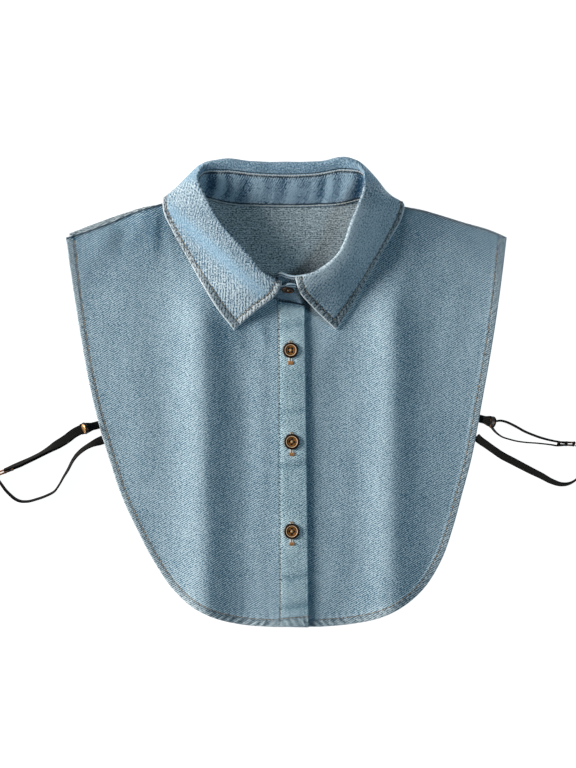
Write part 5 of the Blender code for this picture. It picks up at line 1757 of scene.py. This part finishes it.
def put_lamps(scene):
    """The square lamps, which all face the middle."""
    for name, power, size, turn, height, colour in LAMPS:
        data = bpy.data.lights.new(name, "AREA")
        data.energy, data.size, data.color = getattr(scene.denim_collar, power), size, colour
        lamp = bpy.data.objects.new(name, data)
        towards = Euler((0.0, -math.radians(height), math.radians(turn))).to_matrix()
        lamp.location = towards @ Vector((LAMP_DISTANCE, 0, 0))
        lamp.rotation_euler = (-lamp.location).to_track_quat("-Z", "Y").to_euler()
        scene.collection.objects.link(lamp)


def put_room(scene):
    """A faint even light from all around."""
    world = scene.world or bpy.data.worlds.new("room")
    scene.world = world
    world.use_nodes = True
    sky = world.node_tree.nodes["Background"]
    sky.inputs[0].default_value = (1.0, 1.0, 1.0, 1.0)
    sky.inputs[1].default_value = scene.denim_collar.room_light
    world.cycles.sampling_method = "NONE"


def put_floor(scene):
    """The pale table, which glows a little."""
    bm = bmesh.new()
    bmesh.ops.create_grid(bm, x_segments=2, y_segments=2, size=FLOOR_HALF)
    mesh = bpy.data.meshes.new("floor")
    bm.to_mesh(mesh)
    bm.free()
    floor = bpy.data.objects.new("floor", mesh)
    floor.location.z = CAD_BOX[0][2] - FLOOR_GAP
    n = Nodes("pale floor")
    n.shader.inputs["Emission Color"].default_value = (1.0, 1.0, 1.0, 1.0)
    n.shader.inputs["Emission Strength"].default_value = scene.denim_collar.floor_glow
    n.material.cycles.emission_sampling = "NONE"  # it lights the cloth by bounces alone, with less noise
    mesh.materials.append(n.surface((0.25, 0.25, 0.25, 1.0), 0.9))
    scene.collection.objects.link(floor)


class COLLAR_OT_stage(Piece, bpy.types.Operator):
    """Set up the camera, the lamps and the pale floor"""

    bl_idname = "collar.stage"
    bl_label = "Stage"

    def execute(self, context):
        for put_one in (put_camera, put_lamps, put_room, put_floor):
            put_one(context.scene)
        context.scene.view_settings.view_transform = "Standard"
        return {"FINISHED"}


class COLLAR_OT_straps(Piece, bpy.types.Operator):
    """Make the elastic straps with their tabs, rings and sliders"""

    bl_idname = "collar.straps"
    bl_label = "Straps"

    def execute(self, context):
        cloth, wire = finish("elastic"), "black enamel"
        for side, metal, plate in (("left", "rubbed copper", "bare gold metal"), ("right", wire, wire)):
            dress(slider(f"slider_{side}", side, finish(metal), cloth), "hardware", f"strap_slider_{side}")
            dress(ring(f"ring_{side}", side, finish(wire), finish(plate)), "hardware", f"strap_ring_{side}")
            dress(tab(f"tab_{side}", TABS[side], cloth), "elastic", f"strap_tab_{side}")
            for part in ("run", "return", "long"):
                offset = STRAP_THICK + GAP if (part, side) == ("run", "left") else 0.0
                made, centre = band(f"{part}_{side}", ROUTES[f"{part}_{side}"], cloth, offset)
                dress(made, "elastic", f"strap_{part}_{side}")
        return {"FINISHED"}


class COLLAR_OT_panels(Piece, bpy.types.Operator):
    """Make the back, the two fronts and the placket"""

    bl_idname = "collar.panels"
    bl_label = "Panels"

    def execute(self, context):
        made, area = back(finish("wrong"))
        dress(made, "denim_wrong_side", "back_panel")
        for side in ("left", "right"):
            made, outline, area = front(side, finish("body"))
            dress(made, "denim", f"front_{side}")
            CLOTHS[side] = made, outline
        made = placket(finish("placket"))
        dress(made, "denim", "placket")
        CLOTHS["placket"] = made
        return {"FINISHED"}


class COLLAR_OT_collar(Piece, bpy.types.Operator):
    """Make the stand and the fall"""

    bl_idname = "collar.collar"
    bl_label = "Stand and fall"

    def execute(self, context):
        made, inner, outer, normal, s, t = collar_stand(finish("stand"))
        dress(made, "denim", "collar_stand")
        CLOTHS["stand"] = inner, outer, normal, t
        made, upper, normal, s, t = collar_fall(finish("fall"))
        dress(made, "denim", "collar_fall")
        CLOTHS["fall"] = upper, normal, s, t
        return {"FINISHED"}


class COLLAR_OT_stitches(Piece, bpy.types.Operator):
    """Lay the visible stitches of the hems, the placket and the collar"""

    bl_idname = "collar.stitches"
    bl_label = "Stitches"

    def execute(self, context):
        sew("hem_stitches", hem_paths(), "tan")
        strip = surface_under(CLOTHS["placket"])
        edge = [(placket_left(y) + PLACKET_STITCH, y) for y in np.linspace(62.0, -176.0, 200)]
        sew("placket_stitches", [dropped(edge, strip)], "cream", radius=0.27, arch=0.12, hole=1.0)
        hem = [(x, HEM_Y + placket_stitch(x - PLACKET_LEFT[1])) for x in np.linspace(-4.6, 16.8, 30)]
        sew("placket_hem_stitches", [dropped(hem, strip)], "tan")
        # a dark strand along the stand's foot on the placket: painted shadow of the gap under the stand
        seam = [(x, between(PLACKET_TOP, x) - 0.5)
                for x in np.linspace(PLACKET_LEFT[0] + 1.0, PLACKET_RIGHT[0] - 0.3, 24)]
        dress(strand("stand_seam", dropped(seam, strip, 0.25)[0], 0.5, finish("needle hole")), "denim")
        sew("collar_stitches", fall_paths(), "buff", pitch=3.3, radius=0.3, hole=0.95)
        worn_edges("fall_worn_edges", fall_rims())
        worn_edges("stand_worn_edges", stand_rims())
        sew("stand_stitches", stand_paths(), "cream", pitch=2.5, length=2.3, radius=0.36, hole=0.5)
        return {"FINISHED"}


class COLLAR_OT_buttons(Piece, bpy.types.Operator):
    """Make the buttons with their threads, and the buttonholes of the placket"""

    bl_idname = "collar.buttons"
    bl_label = "Buttons"

    def execute(self, context):
        for name in ("button_1", "button_2", "button_3", "button_stand"):
            how = STAND_BUTTON if name == "button_stand" else {}
            dress(button("sewn_" + name, name, finish("horn"), finish("gold brown"), **how), "button", name)
        strip = surface_under(CLOTHS["placket"])
        for part, (lines, count, above, colour, sizes) in BUTTONHOLE.items():
            paths = [dropped(np.array(place) + np.linspace(*line, count), strip, above)
                     for place in PLACKET_BUTTONS for line in lines]
            sew("buttonhole_" + part, paths, colour, *sizes, 0.02)
        return {"FINISHED"}


class COLLAR_PT_panel(bpy.types.Panel):
    bl_label = "Detachable collar"
    bl_idname = "COLLAR_PT_panel"
    bl_space_type = "VIEW_3D"
    bl_region_type = "UI"
    bl_category = "Collar"

    def draw(self, context):
        column_of = self.layout.column()
        for name in CollarSettings.__annotations__:
            column_of.prop(context.scene.denim_collar, name)
        for operator in OPERATORS:
            column_of.operator(operator.bl_idname)


OPERATORS = (COLLAR_OT_stage, COLLAR_OT_straps, COLLAR_OT_panels, COLLAR_OT_collar, COLLAR_OT_stitches,
             COLLAR_OT_buttons)
CLASSES = (CollarSettings, *OPERATORS, COLLAR_PT_panel)


def register():
    for made in CLASSES:
        bpy.utils.register_class(made)
    bpy.types.Scene.denim_collar = PointerProperty(type=CollarSettings)


def unregister():
    del bpy.types.Scene.denim_collar
    for made in reversed(CLASSES):
        bpy.utils.unregister_class(made)


def main():
    register()
    bpy.ops.collar.stage()
    bpy.ops.collar.straps()
    bpy.ops.collar.panels()
    bpy.ops.collar.collar()
    bpy.ops.collar.stitches()
    bpy.ops.collar.buttons()


if __name__ == "__main__":
    main()
